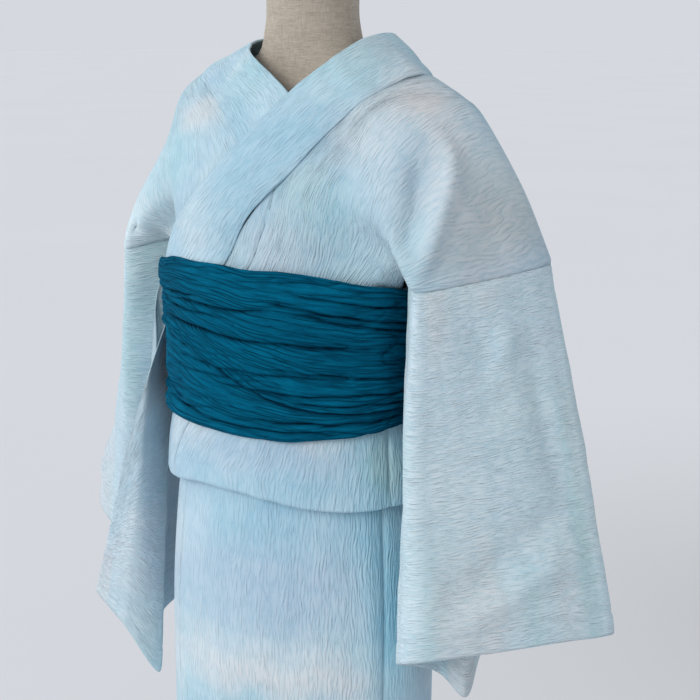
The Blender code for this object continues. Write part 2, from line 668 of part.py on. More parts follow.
# ---- build ------------------------------------------------------------------
def main():
    clear_scene()
    parts = bpy.data.collections.new("yukata_on_dress_form")
    bpy.context.scene.collection.children.link(parts)
    robe = make_material("robe cotton", COLORS["robe"], 0.9)
    belt = make_material("belt crepe", COLORS["belt"], 0.85)
    linen = make_material("form linen", COLORS["linen"], 0.9)
    metal = make_material("stand metal", COLORS["metal"], 0.45, 1.0)
    wood = make_material("cap wood", COLORS["wood"], 0.5)

    collar = collar_stations()
    left_armhole = body_panel("left_body", True, collar, robe, parts)
    right_armhole = body_panel("right_body", False, collar, robe, parts)
    overlap_panel("left_overlap", True, robe, parts)
    overlap_panel("right_overlap", False, robe, parts)
    collar_band(collar, robe, parts)
    sleeve("left_sleeve", LEFT_WRIST, LEFT_BAG, True, left_armhole, robe, parts)
    sleeve("right_sleeve", RIGHT_WRIST, RIGHT_BAG, False, right_armhole, robe, parts)
    belt_turn("belt_lower_turn", belt_low, lambda d: wrap_edge(d) + 0.030, 0.0, belt, parts)
    belt_turn("belt_upper_turn", wrap_edge, belt_top, BELT_TURN + 0.0006, belt, parts)
    belt_knot(belt, parts)
    dress_form(linen, parts)
    stand(wood, metal, parts)


main()
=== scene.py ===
"""Cotton yukata robe with its wound belt, worn on a limbless dress form: the looks.

Metres, +Z up. The wearer faces -Y and the wearer's left is +X. Each cloth piece is a
grid of points worked out from short tables of places, given soft creases along its
normals and then a thin wall. Degrees run round the stand from the front, towards +X.
"""

import bpy
import numpy as np
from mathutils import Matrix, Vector


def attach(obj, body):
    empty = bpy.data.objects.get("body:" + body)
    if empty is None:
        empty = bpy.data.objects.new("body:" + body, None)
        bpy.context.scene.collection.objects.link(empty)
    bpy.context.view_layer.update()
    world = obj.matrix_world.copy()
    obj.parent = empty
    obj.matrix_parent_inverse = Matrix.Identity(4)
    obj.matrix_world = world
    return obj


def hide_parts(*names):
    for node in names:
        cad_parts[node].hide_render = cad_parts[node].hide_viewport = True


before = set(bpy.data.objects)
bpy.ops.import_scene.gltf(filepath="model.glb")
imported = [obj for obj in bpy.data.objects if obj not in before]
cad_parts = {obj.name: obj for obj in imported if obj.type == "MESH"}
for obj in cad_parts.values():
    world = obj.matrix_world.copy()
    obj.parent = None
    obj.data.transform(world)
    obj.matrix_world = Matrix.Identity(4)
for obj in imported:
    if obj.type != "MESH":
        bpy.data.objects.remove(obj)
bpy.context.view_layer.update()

# ---- sizes ------------------------------------------------------------------
WALL = 0.0012
BAND_WALL = 0.0022
BELT_WALL = 0.0016
HEM_Z = 0.065
FOLD_Z = 0.972           # lower fold of the waist tuck, at the front
WAIST_Z = 1.075          # upper fold of the waist tuck, under the belt
BELT_JOIN_Z = 1.165      # where the wrapped rows end, under the belt
BELT_TOP_Z = 1.186
BELT_LOW_Z = 1.030
NECK_Y = 0.021

# Garment ring at each height: half width, half depth of the innermost layer.
RING = np.array([
    # z,     width, depth
    (0.065, 0.1400, 0.1000),
    (0.350, 0.1440, 0.1030),
    (0.700, 0.1440, 0.1035),
    (0.880, 0.1420, 0.1020),
    (0.960, 0.1340, 0.0940),
    (1.020, 0.1250, 0.0870),
    (1.080, 0.1210, 0.0830),
    (1.160, 0.1230, 0.0860),
    (1.205, 0.1330, 0.0945),
    (1.234, 0.1400, 0.0935),
    (1.262, 0.1450, 0.0870),
    (1.297, 0.1470, 0.0710),
    (1.340, 0.1480, 0.0455),
    (1.375, 0.1480, 0.0250),
])
# Layers of cloth, outward from the ring.
LAYERS = {
    # name:        right,  left
    "skirt":      (0.0000, 0.0032),
    "tuck_inner": (0.0098, 0.0065),
    "tuck_outer": (0.0130, 0.0163),
    "chest":      (0.0015, 0.0080),
}
LAP_LIFT = 0.0040
COLLAR_RAISE = 0.0034
BELT_LAYER = 0.0230
BELT_LAYER_BACK = 0.0160
BELT_TURN = 0.0026

# Overlap panels: seam to the body panel and front edge, in degrees, by height.
OVERLAP = np.array([
    # z,     left seam, left edge, right seam, right edge
    (0.065, -35.0, -86.0, 22.0, 52.0),
    (0.990, -35.0, -86.0, 22.0, 52.0),
    (1.045, -20.0, -86.0, 17.0, 50.0),
    (1.105,  -7.0, -45.0, 10.0, 40.0),
    (1.165,   7.0,  -6.0,  4.0, 28.0),
    (1.1935, 14.0,   2.6,  4.6, 23.0),
    (1.2220, 18.0,   9.2,  6.0, 16.0),
    (1.2460, 20.0,  16.0,  6.8, 10.0),
    (1.2620, 20.8,  20.8,  7.1,  7.1),
])
SIDE_EDGE = np.array([
    # z,     degrees
    (0.065, 69.5),
    (0.800, 69.5),
    (0.960, 71.5),
    (1.080, 76.0),
    (1.160, 82.0),
    (1.200, 86.0),
])

# Upper body of the left panel, from the belt over the shoulder to the back.
UPPER_ROWS = [
    # name,           seam,  chest edge x, z,  arm line x, y, z,
    #                 arm middle x, y, z,       armhole edge x, y, z
    ("front armpit",  None, (0.095, 1.220), (0.136, -0.050, 1.207),
                      (0.156, -0.052, 1.197), (0.163, -0.040, 1.187)),
    ("front fold",    5.00, (0.100, 1.254), (0.145, -0.066, 1.236),
                      (0.178, -0.078, 1.207), (0.196, -0.073, 1.178)),
    ("front arm",     6.00, (0.112, 1.289), (0.156, -0.058, 1.268),
                      (0.197, -0.052, 1.231), (0.222, -0.042, 1.183)),
    ("front collar",  8.00, (0.135, 1.329), (0.172, -0.026, 1.303),
                      (0.212, -0.010, 1.250), (0.243, 0.000, 1.189)),
    ("shoulder fold", 10.0, (0.150, 1.346), (0.179, 0.034, 1.323),
                      (0.219, 0.042, 1.261), (0.254, 0.045, 1.194)),
    ("back collar",   11.0, (0.138, 1.337), (0.165, 0.076, 1.305),
                      (0.206, 0.074, 1.251), (0.231, 0.078, 1.190)),
    ("back arm",      12.0, (0.110, 1.313), (0.155, 0.106, 1.275),
                      (0.185, 0.108, 1.232), (0.206, 0.104, 1.184)),
    ("back fold",     13.3, (0.075, 1.285), (0.140, 0.112, 1.244),
                      (0.170, 0.116, 1.208), (0.184, 0.112, 1.178)),
    ("back armpit",   None, (0.070, 1.240), (0.132, 0.082, 1.214),
                      (0.150, 0.080, 1.198), (0.158, 0.070, 1.187)),
]
RIGHT_SEAMS = [None, 22.0, 20.9, 19.4, 18.0, 17.0, 16.0, 14.7, None]
CENTRE_BACK_STATION = 14.0
POINT_ROW = 1.8
NAPE_ROW = 8.6
RIGHT_ARM_SHIFT = (-0.014, 0.016)

# Collar: free edge towards the neck, then the seam edge, from the left front's end.
LEFT_COLLAR = [
    # inner x, z,      outer x, z
    ((-0.122, 1.110), (-0.056, 1.082)),
    ((-0.118, 1.130), (-0.045, 1.105)),
    ((-0.106, 1.172), (-0.018, 1.155)),
    ((-0.083, 1.207), (0.005, 1.190)),
    ((-0.050, 1.240), (0.030, 1.232)),
    ((-0.010, 1.284), (0.061, 1.266)),
    ((0.020, 1.318), (0.084, 1.299)),
]
NECK_COLLAR = [
    # inner x, y, z,          outer x, y, z
    ((0.038, -0.053, 1.341), (0.101, -0.048, 1.322)),
    ((0.058, -0.034, 1.363), (0.116, -0.033, 1.340)),
    ((0.072, -0.010, 1.381), (0.126, -0.006, 1.352)),
    ((0.078, 0.020, 1.391), (0.130, 0.022, 1.3575)),
    ((0.074, 0.050, 1.390), (0.112, 0.062, 1.349)),
    ((0.054, 0.081, 1.383), (0.074, 0.096, 1.333)),
    ((0.028, 0.098, 1.377), (0.040, 0.112, 1.320)),
    ((0.000, 0.103, 1.375), (0.000, 0.117, 1.3145)),
    ((-0.028, 0.098, 1.377), (-0.040, 0.112, 1.320)),
    ((-0.050, 0.081, 1.382), (-0.074, 0.096, 1.333)),
    ((-0.064, 0.050, 1.386), (-0.112, 0.062, 1.349)),
    ((-0.061, 0.019, 1.386), (-0.130, 0.022, 1.3575)),
    ((-0.047, -0.014, 1.381), (-0.112, -0.016, 1.352)),
    ((-0.026, -0.034, 1.371), (-0.080, -0.042, 1.342)),
]
RIGHT_COLLAR = [
    ((0.034, 1.338), (-0.014, 1.303)),
    ((0.066, 1.302), (0.018, 1.262)),
    ((0.092, 1.258), (0.044, 1.214)),
]

# Sleeves: the wrist end of each row of the armhole edge, then the hanging bag.
LEFT_WRIST = [
    # out, back, z
    (0.182, -0.076, 0.840),
    (0.214, -0.094, 0.856),
    (0.262, -0.044, 0.862),
    (0.298, 0.012, 0.864),
    (0.316, 0.060, 0.861),
    (0.292, 0.088, 0.864),
    (0.262, 0.112, 0.862),
    (0.214, 0.130, 0.852),
    (0.184, 0.110, 0.838),
]
LEFT_BAG = [
    # name,            top out, back, z,       wrist out, back, z
    ("inner back",     (0.160, 0.044, 1.150), (0.176, 0.066, 0.806)),
    ("bottom seam",    (0.200, 0.018, 1.105), (0.200, 0.006, 0.785)),
    ("inner front",    (0.161, -0.006, 1.150), (0.172, -0.004, 0.806)),
]
RIGHT_WRIST = [
    (0.197, -0.030, 0.838),
    (0.221, -0.036, 0.866),
    (0.257, -0.026, 0.870),
    (0.290, -0.010, 0.878),
    (0.314, 0.018, 0.879),
    (0.292, 0.062, 0.862),
    (0.258, 0.096, 0.860),
    (0.208, 0.098, 0.842),
    (0.188, 0.070, 0.810),
]
RIGHT_BAG = [
    ("inner wall",     (0.159, -0.002, 1.145), (0.170, -0.036, 0.786)),
    ("bag turn",       (0.152, -0.026, 1.118), (0.159, -0.050, 0.728)),
    ("bag front",      (0.134, -0.076, 1.060), (0.185, -0.074, 0.782)),
    ("bottom seam",    (0.178, -0.066, 0.977), (0.238, -0.064, 0.804)),
    ("bag back",       (0.159, -0.045, 1.061), (0.219, -0.050, 0.797)),
    ("behind the bag", (0.163, -0.036, 1.130), (0.204, -0.032, 0.785)),
]

# Dress form: half width, half depth and centre behind the axis, by height.
FORM = np.array([
    # z,    width,  depth,  behind
    (0.780, 0.118, 0.078, 0.000),
    (0.800, 0.126, 0.085, 0.000),
    (0.900, 0.128, 0.087, 0.000),
    (1.000, 0.112, 0.076, 0.000),
    (1.080, 0.104, 0.068, 0.000),
    (1.170, 0.112, 0.074, 0.000),
    (1.230, 0.126, 0.080, 0.004),
    (1.280, 0.144, 0.068, 0.012),
    (1.312, 0.158, 0.054, 0.018),
    (1.332, 0.146, 0.046, 0.021),
    (1.350, 0.104, 0.041, 0.021),
    (1.370, 0.062, 0.041, 0.021),
    (1.395, 0.047, 0.043, 0.021),
    (1.440, 0.045, 0.043, 0.021),
    (1.480, 0.046, 0.044, 0.021),
])
NECK_TOP_Z = 1.480
CAP_HEIGHT = 0.012
POLE_RADIUS = 0.0150
FOOT_RADIUS = 0.170
FOOT_HEIGHT = 0.016
HUB_HEIGHT = 0.045

# ---- creases ----------------------------------------------------------------
# Soft creases of the robe, each along a short path: height is out of the cloth
# (a trough is negative), width is its half width, and it fades at both ends.
ROBE_CREASES = [
    # height, width, path x, y, z
    (0.0105, 0.0080, [(0.172, -0.016, 1.310), (0.191, -0.018, 1.285), (0.198, -0.034, 1.253),
                      (0.200, -0.059, 1.213), (0.196, -0.074, 1.184)]),
    (-0.0120, 0.0110, [(0.168, -0.034, 1.290), (0.178, -0.046, 1.262), (0.180, -0.062, 1.230),
                       (0.176, -0.068, 1.205)]),
    (-0.0070, 0.0060, [(0.168, -0.064, 1.232), (0.166, -0.064, 1.210), (0.166, -0.060, 1.190)]),
    (0.0040, 0.0060, [(0.150, -0.070, 1.215), (0.153, -0.062, 1.195)]),
]
SLEEVE_CREASES = [
    (0.0050, 0.014, [(0.195, -0.080, 1.150), (0.200, -0.082, 1.007), (0.219, -0.084, 0.918),
                     (0.222, -0.087, 0.850)]),
    (-0.0040, 0.016, [(0.232, -0.050, 1.170), (0.243, -0.025, 1.110), (0.238, -0.038, 1.050)]),
    (0.0045, 0.012, [(0.251, -0.005, 1.150), (0.246, -0.012, 1.120), (0.238, -0.036, 1.070)]),
    (0.0050, 0.013, [(0.232, -0.078, 0.875), (0.262, -0.035, 0.905), (0.300, 0.030, 0.945)]),
    (-0.0045, 0.015, [(0.240, -0.062, 0.915), (0.270, -0.020, 0.950), (0.296, 0.030, 0.990)]),
    (-0.0050, 0.012, [(0.262, 0.010, 1.130), (0.272, 0.022, 1.040), (0.286, 0.040, 0.960)]),
    (0.0050, 0.0055, [(0.254, 0.046, 1.200), (0.285, 0.055, 1.030), (0.316, 0.062, 0.861),
                      (0.332, 0.066, 0.770)]),
]


# ---- reading tables and curves ----------------------------------------------
def table(rows, at, column):
    """Hermite curve through one column of a table, read at the heights `at`."""
    z, v = rows[:, 0], rows[:, column]
    slope = np.gradient(v, z)
    at = np.clip(at, z[0], z[-1])
    i = np.clip(np.searchsorted(z, at) - 1, 0, len(z) - 2)
    step = z[i + 1] - z[i]
    u = (at - z[i]) / step
    rise = (1 + 2 * u) * (1 - u) ** 2 * v[i] + u * u * (3 - 2 * u) * v[i + 1]
    return rise + step * u * (1 - u) * ((1 - u) * slope[i] - u * slope[i + 1])


def smooth(low, high, value):
    """Smoothstep: 3u^2 - 2u^3 of the share u of the way from low to high."""
    u = np.clip((value - low) / (high - low), 0.0, 1.0)
    return u * u * (3.0 - 2.0 * u)


def curve_through(points, count):
    """Catmull-Rom curve through points (n, ..., 3), read at `count` even steps."""
    p = np.asarray(points, float)
    p = np.concatenate([2 * p[:1] - p[1:2], p, 2 * p[-1:] - p[-2:-1]])
    spans = len(p) - 3
    t = np.linspace(0.0, spans, count)
    i = np.minimum(t.astype(int), spans - 1)
    u = (t - i).reshape((-1,) + (1,) * (p.ndim - 1))
    a, b, c, d = p[i], p[i + 1], p[i + 2], p[i + 3]
    return 0.5 * (2 * b + (c - a) * u + (2 * a - 5 * b + 4 * c - d) * u ** 2
                  + (3 * b - a - 3 * c + d) * u ** 3)


def along(stations, at):
    """Points on the Catmull-Rom curve through the stations at fractional places."""
    steps = 40
    fine = curve_through(stations, (len(stations) - 1) * steps + 1)
    at = np.asarray(at, float) * steps
    low = np.clip(at.astype(int), 0, len(fine) - 2)
    share = (at - low)[:, None]
    return fine[low] * (1 - share) + fine[low + 1] * share


def noise(u, v, seed, around=64):
    """Smooth noise from -1 to 1: a seeded lattice of numbers, eased between its points.

    It repeats every `around` steps of u, so it closes on a ring.
    """
    lattice = np.random.default_rng(seed).uniform(-1.0, 1.0, (around, 97))
    u, v = np.broadcast_arrays(u, v)
    i, j = np.floor(u).astype(int), np.floor(v).astype(int)
    a, b = u - i, v - j
    a, b = a * a * (3 - 2 * a), b * b * (3 - 2 * b)
    i0, i1, j0, j1 = i % around, (i + 1) % around, j % 97, (j + 1) % 97
    low = lattice[i0, j0] * (1 - a) + lattice[i1, j0] * a
    high = lattice[i0, j1] * (1 - a) + lattice[i1, j1] * a
    return low * (1 - b) + high * b


def bell(value, width):
    """Gaussian hump exp(-(value / width)^2)."""
    return np.exp(-(value / width) ** 2)


# ---- places on the garment --------------------------------------------------
def ring(degrees, z, out):
    """Point of the garment ring at an angle from the front, moved out by `out`."""
    degrees, z, out = np.broadcast_arrays(*(np.asarray(v, float) for v in (degrees, z, out)))
    turn = np.radians(degrees)
    x = (table(RING, z, 1) + out) * np.sin(turn)
    y = -(table(RING, z, 2) + out) * np.cos(turn)
    return np.stack([x, y, z], -1)


def on_chest(x, z, out):
    """Front point of the garment ring at a given x and z, moved out by `out`."""
    share = np.clip(x / (table(RING, z, 1) + out), -0.98, 0.98)
    return np.array([x, -(table(RING, z, 2) + out) * np.sqrt(1.0 - share ** 2), z])


def mirrored(points, side):
    return points * np.array([side, 1.0, 1.0])


def lap(left, degrees):
    """1 where the other side's front lies with this one, 0 at the back."""
    return smooth(72.0, 61.0, degrees) if left else smooth(105.0, 90.0, degrees)


def layer(name, left, degrees):
    """Distance out from the ring; the left side joins the right's at the back."""
    right_out, left_out = LAYERS[name]
    if not left:
        return np.full_like(degrees, right_out)
    return right_out + (left_out - right_out) * lap(True, degrees)


def chest_out(z, left):
    """Above the belt, the layers settle from their place at the waist to the chest."""
    chest = LAYERS["chest"][int(left)]
    waist = LAYERS["tuck_outer"][int(left)]
    return chest + (waist - chest) * smooth(1.205, 1.168, z)


def fold_drop(degrees):
    """The tuck's lower fold dips a little towards the sides and waves slightly."""
    dip = 0.007 * smooth(0.0, 80.0, np.abs(degrees))
    return 0.003 * np.cos(np.radians(4 * degrees)) - dip


# ---- cloth pieces -----------------------------------------------------------
def normals(grid, closed=False):
    """Unit normals of a grid: cross product of its row and column steps."""
    if closed:
        across = np.roll(grid, -1, 1) - np.roll(grid, 1, 1)
    else:
        across = np.gradient(grid, axis=1)
    up = np.gradient(grid, axis=0)
    n = np.cross(across, up)
    return n / np.maximum(np.linalg.norm(n, axis=-1, keepdims=True), 1e-9)


def lengths(grid, axis):
    """Mean distance run along an axis of a grid, from 0, for the weave's own sizes."""
    step = np.linalg.norm(np.diff(grid, axis=axis), axis=-1).mean(axis=1 - axis)
    return np.concatenate([[0.0], np.cumsum(step)])


def cloth_wall(grid, wall, closed, outward):
    """Both faces of a cloth: the grid moved half a wall each way along its normals.

    At a free edge the wall thins: its outermost row of points is 0.55 as thick.
    """
    rows, columns = grid.shape[:2]
    n = normals(grid, closed) * outward
    lip = np.ones((rows, columns))
    ends = np.minimum(np.arange(rows), np.arange(rows)[::-1])
    lip *= np.where(ends < 1, 0.55, 1.0)[:, None]
    if not closed:
        sides = np.minimum(np.arange(columns), np.arange(columns)[::-1])
        lip *= np.where(sides < 1, 0.55, 1.0)[None]
    half = (0.5 * wall * lip)[..., None] * n
    points = np.concatenate([(grid + half).reshape(-1, 3), (grid - half).reshape(-1, 3)])
    index = np.arange(rows * columns).reshape(rows, columns)
    if closed:
        index = np.concatenate([index, index[:, :1]], axis=1)
    quads = np.stack([index[:-1, :-1], index[:-1, 1:], index[1:, 1:], index[1:, :-1]], -1)
    if outward < 0:
        quads = quads[..., ::-1]
    quads = quads.reshape(-1, 4)
    under = quads[:, ::-1] + rows * columns
    rims = []
    edges = [(index[0], True), (index[-1], False)]
    if not closed:
        edges += [(index[:, 0], False), (index[:, -1], True)]
    for edge, ahead in edges:
        a, b = edge[:-1], edge[1:]
        rim = np.stack([b, a, a + rows * columns, b + rows * columns], -1)
        if not ahead:
            rim = rim[:, ::-1]
        if outward < 0:
            rim = rim[:, ::-1]
        rims.append(rim)
    return points, np.concatenate([quads, under] + rims)


def cloth(name, grid, material, node, wall=WALL, closed=False,
          outward=1.0, warp_along=0, own_width=False, fineness=1.0, dye_and_shade=None):
    """Cloth piece from a grid: wall, weave map in metres, and dye colours with painted shade and painted
    light in them; it takes the place of the model's own part, which it hides.

    The weave map runs across the cloth first and then along its warp; with own_width
    each row is measured by itself, so that the warp runs along its first edge. A
    fineness over 1 makes the crinkles that much smaller.
    """
    points, quads = cloth_wall(grid, wall, closed, outward)
    mesh = bpy.data.meshes.new(name)
    mesh.vertices.add(len(points))
    mesh.vertices.foreach_set("co", points.ravel())
    mesh.loops.add(quads.size)
    mesh.loops.foreach_set("vertex_index", quads.ravel().astype(np.int32))
    mesh.polygons.add(len(quads))
    mesh.polygons.foreach_set("loop_start", np.arange(0, quads.size, 4, dtype=np.int32))
    mesh.update(calc_edges=True)
    mesh.validate()
    rows, columns = grid.shape[:2]
    seam_step = np.linalg.norm(grid[:, 0] - grid[:, -1], axis=-1).mean()
    run, wide = lengths(grid, 0), lengths(grid, 1)
    if closed:
        wide = np.concatenate([wide, [wide[-1] + seam_step]])
    wide = np.tile(wide, (rows, 1))
    if own_width:
        step = np.linalg.norm(np.diff(grid, axis=1), axis=-1)
        wide = np.concatenate([np.zeros((rows, 1)), np.cumsum(step, axis=1)], axis=1)
    # the loop corners' own rows and columns; a closed ring's last column is one past
    corner = quads % (rows * columns)
    row, column = corner // columns, corner % columns
    if closed:
        past = (column == 0) & (column.max(axis=1, keepdims=True) == columns - 1)
        column = np.where(past, columns, column)
    wide = wide[row, column]
    first, second = (wide, run[row]) if warp_along == 0 else (run[row], wide)
    weave = mesh.uv_layers.new(name="weave")
    weave.data.foreach_set("uv", (np.stack([first, second], -1) * fineness).astype(np.float32).ravel())
    # the colour attribute carries the dye with painted shade and painted light in it; on the belt it is
    # painted fold shade only
    if dye_and_shade is not None:
        colour = mesh.color_attributes.new("dye_and_shade", "FLOAT_COLOR", "POINT")
        both = np.concatenate([dye_and_shade.reshape(-1, 3)] * 2)
        rgba = np.concatenate([both, np.ones((len(both), 1))], 1)
        colour.data.foreach_set("color", rgba.astype(np.float32).ravel())
    mesh.materials.append(material)
    mesh.polygons.foreach_set("use_smooth", np.ones(len(mesh.polygons), bool))
    piece = bpy.data.objects.new(name, mesh)
    bpy.context.scene.collection.objects.link(piece)
    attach(piece, "root")
    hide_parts(node)
    return piece


def crease_height(points, creases):
    """Sum of creases: height x bell of the distance to the path x fade at its ends.

    The distance is taken to each straight part of the path; the nearest one counts.
    """
    total = np.zeros(points.shape[:-1])
    for height, width, path in creases:
        path = curve_through(np.array(path), 4 * len(path))
        best = np.full(points.shape[:-1], 9.0)
        place = np.zeros(points.shape[:-1])
        for i, (a, b) in enumerate(zip(path[:-1], path[1:])):
            share = np.clip(((points - a) @ (b - a)) / ((b - a) @ (b - a)), 0.0, 1.0)
            far = np.linalg.norm(points - a - share[..., None] * (b - a), axis=-1)
            place = np.where(far < best, (i + share) / (len(path) - 1), place)
            best = np.minimum(best, far)
        fade = smooth(0.0, 0.25, place) * smooth(1.0, 0.75, place)
        total += height * bell(best, width) * (0.25 + 0.75 * fade)
    return total


def soft_waves(points, scale=1.0):
    """Broad soft waves of worn cloth, the same on every piece where pieces meet."""
    x, y, z = np.moveaxis(points, -1, 0)
    turn = np.arctan2(x, -y) * 0.14
    wide = noise(turn / 0.050 + 9.0, z / 0.28, 3) * 0.0012
    narrow = noise(turn / 0.017 + 5.0, z / 0.11, 4) * 0.00055
    return scale * (wide + narrow)


def moved(grid, height, closed=False, outward=1.0):
    """The grid moved along its own normals by a height at each point."""
    return grid + height[..., None] * normals(grid, closed) * outward


def seam_groove(grid, depth=0.0016, width=0.0026, sides=(True, True)):
    """Cloth dips into a sewn seam: a bell trough along the first and last columns."""
    step = np.linalg.norm(np.diff(grid, axis=1), axis=-1)
    run = np.concatenate([np.zeros((len(grid), 1)), np.cumsum(step, axis=1)], axis=1)
    first = bell(run, width) if sides[0] else 0.0
    last = bell(run[:, -1:] - run, width) if sides[1] else 0.0
    return -depth * (first + last)


def seam_shade(grid, sides=(True, True)):
    """Painted shade in the stitched dip of a seam: the dye is darkened 1.2 mm wide along the same columns.
    """
    return 1.0 + 150.0 * seam_groove(grid, width=0.0012, sides=sides)[..., None]


def eased(count, closeness=0.6):
    """Shares from 0 to 1, closer together at both ends: t - c sin(2 pi t) / 2 pi."""
    t = np.linspace(0.0, 1.0, count)
    return t - closeness * np.sin(2 * np.pi * t) / (2 * np.pi)


# ---- robe body --------------------------------------------------------------
def wrapped_rows(degrees_at, left, skirt=60, tuck=22, belt=12):
    """Rows of a panel from the hem up under the belt, with its waist tuck.

    The cloth goes up the skirt to the waist, turns down inside the tuck, turns up at
    the tuck's lower fold and carries on up. Each turn is half a circle of sines.
    """
    rows = []

    def add(z, first, second=None, turned=0.0, wave=0.0, lifted=0.0, swell=0.0):
        degrees = degrees_at(z)
        out = layer(first, left, degrees)
        if second:
            out = out + (layer(second, left, degrees) - out) * turned
        height = z + wave * fold_drop(degrees) + lifted * lap(left, degrees)
        rows.append(ring(degrees, height, out + swell))

    lower_lift = 0.0 if left else LAP_LIFT
    upper_lift = -LAP_LIFT if left else 0.0
    for z in np.linspace(HEM_Z, 1.0, skirt):
        add(z, "skirt")
    add(1.035, "skirt", lifted=upper_lift)
    for angle in np.linspace(0.0, np.pi, 7):
        add(WAIST_Z - 0.004 + 0.004 * np.sin(angle), "skirt", "tuck_inner",
            0.5 - 0.5 * np.cos(angle), lifted=upper_lift)
    for z in (1.03, 0.995):
        add(z, "tuck_inner", wave=smooth(1.05, 0.98, z), lifted=lower_lift)
    for angle in np.linspace(0.0, np.pi, 9):
        add(FOLD_Z + 0.0035 - 0.0035 * np.sin(angle), "tuck_inner", "tuck_outer",
            0.5 - 0.5 * np.cos(angle), wave=1.0, lifted=lower_lift)
    for z in np.linspace(FOLD_Z + 0.005, 1.040, tuck):
        share = (z - FOLD_Z) / (1.040 - FOLD_Z)
        # the tuck's pouch swells a little over its lower fold
        add(z, "tuck_outer", wave=smooth(1.02, 0.98, z), lifted=lower_lift * (1 - share),
            swell=0.0022 * np.sin(np.pi * share) ** 2)
    for z in np.linspace(1.045, BELT_JOIN_Z, belt):
        add(z, "tuck_outer")
    return np.array(rows)


def collar_stations():
    """Free edge and seam edge of the collar at each station, left end to right end."""
    ends = [[[on_chest(x, z, chest_out(z, left) + COLLAR_RAISE) for x, z in pair] for pair in rows]
            for left, rows in ((True, LEFT_COLLAR), (False, RIGHT_COLLAR))]
    return np.array(ends[0] + [list(map(np.array, pair)) for pair in NECK_COLLAR] + ends[1])


def under_collar(collar):
    """Line just under the collar's seam edge, where the body panels end out of sight."""
    across = collar[:, 0] - collar[:, 1]
    out = np.cross(-across, np.gradient(collar[:, 1], axis=0))
    out /= np.linalg.norm(out, axis=1, keepdims=True)
    return collar[:, 1] + 0.09 * across - 0.0024 * out


def arm_points(row, left):
    """Arm line, arm middle and armhole edge of a row, in the left side's sense."""
    points = np.array(row[3:], float)
    if not left:
        points[:, :2] += smooth(0.06, -0.03, points[:, 1:2]) * np.array(RIGHT_ARM_SHIFT)
    return points


def inner_edge(at, left, collar):
    """Neck-side edge of the upper rows: overlap seam, collar seam, centre back."""
    side = 1.0 if left else -1.0
    low_z = np.interp(at, [0.0, 1.0, POINT_ROW], [BELT_JOIN_Z, 1.222, 1.260])
    seam = side * np.interp(low_z, OVERLAP[:, 0], OVERLAP[:, 1 if left else 3])
    points = ring(seam, low_z, chest_out(low_z, left))
    places = [row[1] for row in UPPER_ROWS] if left else RIGHT_SEAMS
    known = [(i + 1.0, place) for i, place in enumerate(places) if place is not None]
    first = np.interp(POINT_ROW, [1.0, 2.0], [places[1] - 0.30 * side, places[1]])
    rows, stations = zip(*([(POINT_ROW, first)] + known + [(NAPE_ROW, CENTRE_BACK_STATION)]))
    on_collar = along(under_collar(collar), np.interp(at, rows, stations)) * np.array([side, 1.0, 1.0])
    back_z = np.interp(at, [NAPE_ROW, 9.0, 10.0], [collar[14, 1, 2], 1.250, BELT_JOIN_Z])
    ring_back = table(RING, BELT_JOIN_Z, 2) + LAYERS["tuck_outer"][0]
    back_y = np.interp(at, [NAPE_ROW, 9.0, 10.0], [collar[14, 1, 1], 0.113, ring_back])
    centre = np.stack([np.zeros_like(at), back_y, back_z], -1)
    at = at[:, None]
    return np.where(at < POINT_ROW, points, np.where(at > NAPE_ROW, centre, on_collar))


def settle_on_chest(grid, left, raised=0.0, reach=0.095):
    """Lay the front's inner part on the chest ring, so that the layers stay nested."""
    x, y, z = np.moveaxis(grid, -1, 0)
    out = chest_out(z, left) + raised
    share = np.clip(x / (table(RING, z, 1) + out), -0.98, 0.98)
    chest_y = -(table(RING, z, 2) + out) * np.sqrt(1.0 - share ** 2)
    weight = smooth(reach + 0.03, reach, np.abs(x)) * smooth(1.345, 1.315, z) * (y < 0.0)
    grid[..., 1] = y + (chest_y - y) * weight
    return grid


BODY_COLUMNS = 112
UPPER_STEPS = 101        # places along the ten rows of the upper body, ends included


def upper_body(left, collar, front_top, back_top, shares):
    """The panel over chest, shoulder and back: a Catmull-Rom surface through its rows."""
    out = LAYERS["chest"][int(left)]
    edge = inner_edge(np.arange(1.0, 10.0), left, collar)
    control = [front_top]
    for number, row in enumerate(UPPER_ROWS):
        arm = arm_points(row, left)
        seam = edge[number]
        if row[0].startswith("front"):
            chest = on_chest(*row[2], out)
            halfway = on_chest(*(0.5 * (seam + chest))[[0, 2]], out)
        else:
            chest = seam + (arm[0] - seam) * 0.62 + np.array([0.0, 0.003, 0.002])
            halfway = seam + (arm[0] - seam) * 0.30 + np.array([0.0, 0.002, 0.001])
        control.append(along(np.array([seam, halfway, chest, *arm]), shares * 5.0))
    control.append(back_top)
    at = np.linspace(0.0, 10.0, UPPER_STEPS)
    upper = curve_through(np.array(control), UPPER_STEPS)
    upper = settle_on_chest(upper, left)
    upper[:, 0] = inner_edge(at, left, collar)
    return upper


